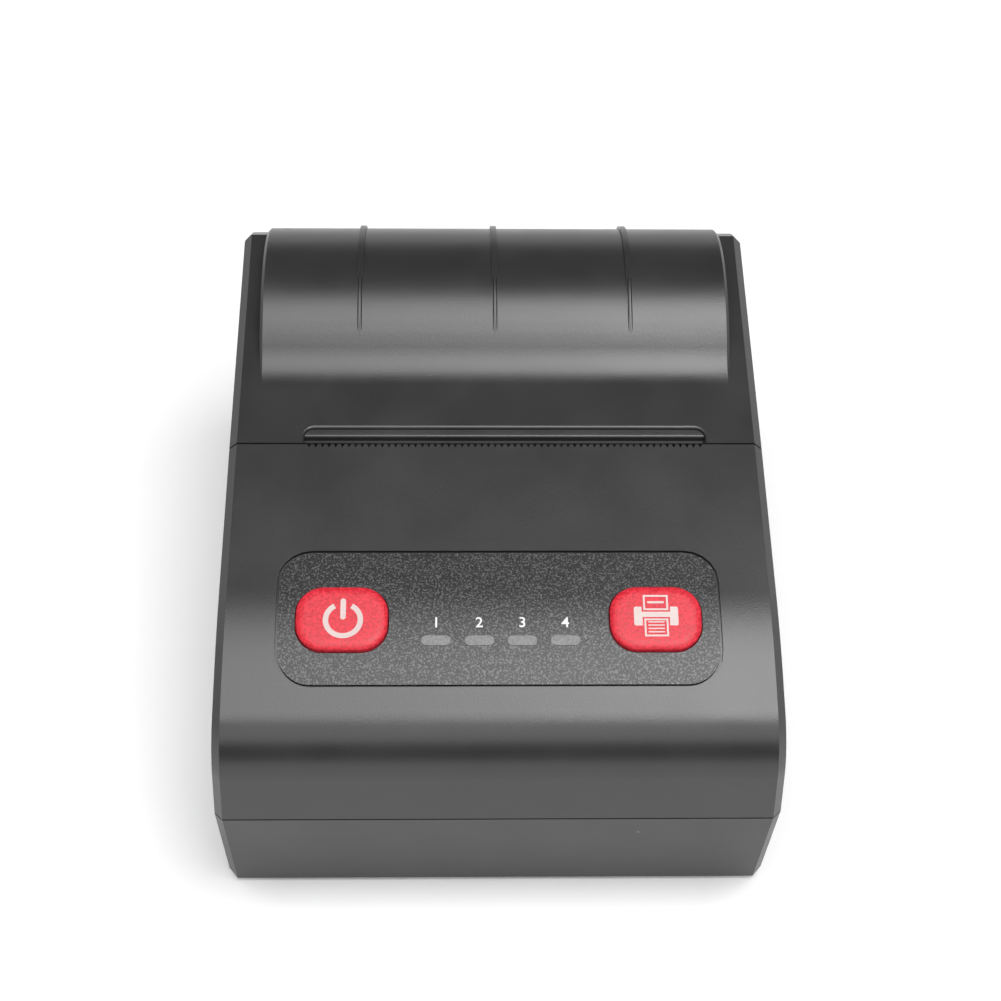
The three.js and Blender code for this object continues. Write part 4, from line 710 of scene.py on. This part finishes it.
def drum_strips(middles, half_width, rise, start, end):
    """Narrow strips along the fins from one angle to another, thinning out towards both ends."""
    form = bmesh.new()
    for x in middles:
        section = [(x + side * half_width, radius) for side, radius in
                   ((-1, strip_foot), (1, strip_foot), (0.6, strip_crest), (-0.6, strip_crest))]
        drum_sweep(form, section, start, end, steps=end - start)
    for vert in form.verts:
        across, up = vert.co.y - drum_middle_y, vert.co.z - drum_middle_z
        turn = math.degrees(math.atan2(up, across))
        swell = max(0, 1 - abs(2 * (turn - start) / (end - start) - 1) ** 3)
        middle = min(middles, key=lambda x: abs(x - vert.co.x))
        x = middle + (vert.co.x - middle) * (0.3 + 0.7 * swell)
        fin_level = fin_radius + fin_offset * math.cos(math.radians(turn - fin_turn)) - 0.01
        if math.hypot(across, up) < (strip_foot + strip_crest) / 2:
            radius = fin_level - strip_sunk
        else:
            radius = max(fin_level, drum_radius) - 0.05 + (rise + 0.05) * swell
        vert.co = drum_point(x, radius, turn)
    return form


fin_crests = drum_strips(fin_places, half_width=0.16, rise=0.22, start=92, end=125)
seat("fin_crests", shaped("fin_crests", fin_crests), case_plastic, "case_plastic", "cover")
# The painted shadow strips run along both sides of each fin and thin out towards their ends.
fin_shadow_places = [x + side * 0.27 for x in fin_places for side in (-1, 1)]
fin_painted_shadows = drum_strips(fin_shadow_places, half_width=0.12, rise=0.02, start=95, end=126)
seat("fin_painted_shadows", shaped("fin_painted_shadows", fin_painted_shadows), fin_shadow_black, "case_plastic", "cover")

# Paper slot: a ledge at the rear and a lower lip in front of it, part of the cover's
# moulding, lead the paper up and out over the notches of the deck.
slot_left, slot_length = -29.35, 61.3
slot_middle = slot_left + slot_length / 2
nose_rear, nose_front, nose_foot, nose_top = 2.25, 1.8, 47.2, 47.96
nose_turn_x, nose_turn_y, nose_end_y = slot_left + 1.85, 0.3, -1.02
nose_level_y, nose_fall = 2.2, 8


def strip(section, *soft, radius=0.0):
    """A straight strip along the slot: a section of (y, z) pairs, some of them with soft edges."""
    form = bmesh.new()
    form.faces.new([form.verts.new((slot_left, y, z)) for y, z in section])
    drawn_out(form, form.faces[:], (slot_length, 0, 0))
    edges = [e for e in form.edges for y, z in soft
             if all(abs(v.co.y - y) + abs(v.co.z - z) < 1e-4 for v in e.verts)]
    if edges:
        rounded(form, edges, radius, steps=3)
    return form


ledge_edge = (0.7, 47.26)
rear_slope = strip(((2.25, 45.05), (2.25, 47.45), ledge_edge, (0.5, 46.9), (0.5, 45.05)), ledge_edge,
                   radius=0.16)
paper_lip = strip(((0.55, 45.05), (0.55, 46.35), (0.02, 46.3), (0.02, 45.05)))
nose = bmesh.new()
nose_section = ((nose_rear, nose_foot), (nose_rear, nose_top), (nose_front, nose_top),
                (nose_front, nose_foot))
nose_corners = [nose.verts.new((slot_middle, y, z)) for y, z in nose_section]
nose.faces.new(nose_corners)
rounded(nose, [nose_corners[2]], 0.4, steps=6, affect="VERTICES")
run = drawn_out(nose, nose.faces[:], (nose_turn_x - slot_middle, 0, 0))
bend = bmesh.ops.spin(nose, geom=run, cent=(nose_turn_x, nose_turn_y, 0), axis=(0, 0, 1),
                      angle=math.pi / 2, steps=12)["geom_last"]
drawn_out(nose, [f for f in bend if isinstance(f, bmesh.types.BMFace)], (0, nose_end_y - nose_turn_y, 0))
for vert in nose.verts:
    vert.co.z += (vert.co.y - nose_level_y) * math.tan(math.radians(nose_fall))
cut_faces = [f for f in nose.faces if all(abs(v.co.x - slot_middle) < 1e-4 for v in f.verts)]
bmesh.ops.delete(nose, geom=cut_faces, context="FACES_ONLY")
other_nose = nose.copy()
bmesh.ops.scale(other_nose, vec=(-1, 1, 1), space=Matrix.Translation((-slot_middle, 0, 0)),
                verts=other_nose.verts)
slot_guides = joined(*((part, Matrix()) for part in (rear_slope, paper_lip, nose, other_nose)))
bmesh.ops.remove_doubles(slot_guides, verts=slot_guides.verts, dist=0.001)
inner_walls = [face for face in slot_guides.faces if all(len(edge.link_faces) > 2 for edge in face.edges)]
bmesh.ops.delete(slot_guides, geom=inner_walls, context="FACES_ONLY")
seat("slot_guides", shaped("slot_guides", slot_guides), case_plastic, "case_plastic", "cover")

# Platen roller: a ground rubber sleeve on a turned steel shaft, in two acetal bushes, carried
# by a black bracket under the cover, with its drive gear on the left.
ground_rubber = finish("ground_rubber", (0.018, 0.018, 0.018), (0.03, 0.03, 0.03), smooth=0.6,
                       rough=0.75, grain=5000.0, depth=0.02 * mm)
platen_y, platen_z = 4.8, 38.5
across = Matrix.Translation((0, platen_y, platen_z)) @ Matrix.Rotation(math.radians(90), 4, "Y")
soften("platen_bracket", black_nylon, "inner_plastic", rounding=0.2)
shaft_left, shaft_right = -35.6, 35.1
shaft = ((0, shaft_left), (1.7, shaft_left), (2, shaft_left + 0.3), (2, -33.4), (1.7, -33.3),
         (1.7, -32.9), (2, -32.8), (2, 34.2), (1.7, 34.3), (1.7, 34.6), (2, 34.7),
         (2, shaft_right - 0.3), (1.7, shaft_right), (0, shaft_right))
shaft_mesh = shaped("platen_shaft_turned", turned(shaft, steps=32), across)
seat("platen_shaft_turned", shaft_mesh, plated_steel, "steel", "platen", "platen_shaft")
sleeve_left, sleeve_right, sleeve_bore = -27.7, 30.3, 2.02
sleeve = ((sleeve_bore, sleeve_left), (4.62, sleeve_left), (4.84, -27.6), (4.92, -27.35), (4.92, 29.95),
          (4.84, 30.2), (4.62, sleeve_right), (sleeve_bore, sleeve_right), (sleeve_bore, sleeve_left))
sleeve_mesh = shaped("platen_sleeve", turned(sleeve, steps=64), across)
seat("platen_sleeve", sleeve_mesh, ground_rubber, "platen_rubber", "platen", "platen_rubber")
for node in ("platen_bush_left", "platen_bush_right", "platen_gear"):
    soften(node, acetal, "white_plastic", rounding=0.08)

# Screws: plated steel with a cross recess. Four hold the case together from below, two the
# bucket and one the battery door.
for node in [name for name in frame["nodes"] if "screw" in name]:
    soften(node, plated_steel, "steel", rounding=0.1)
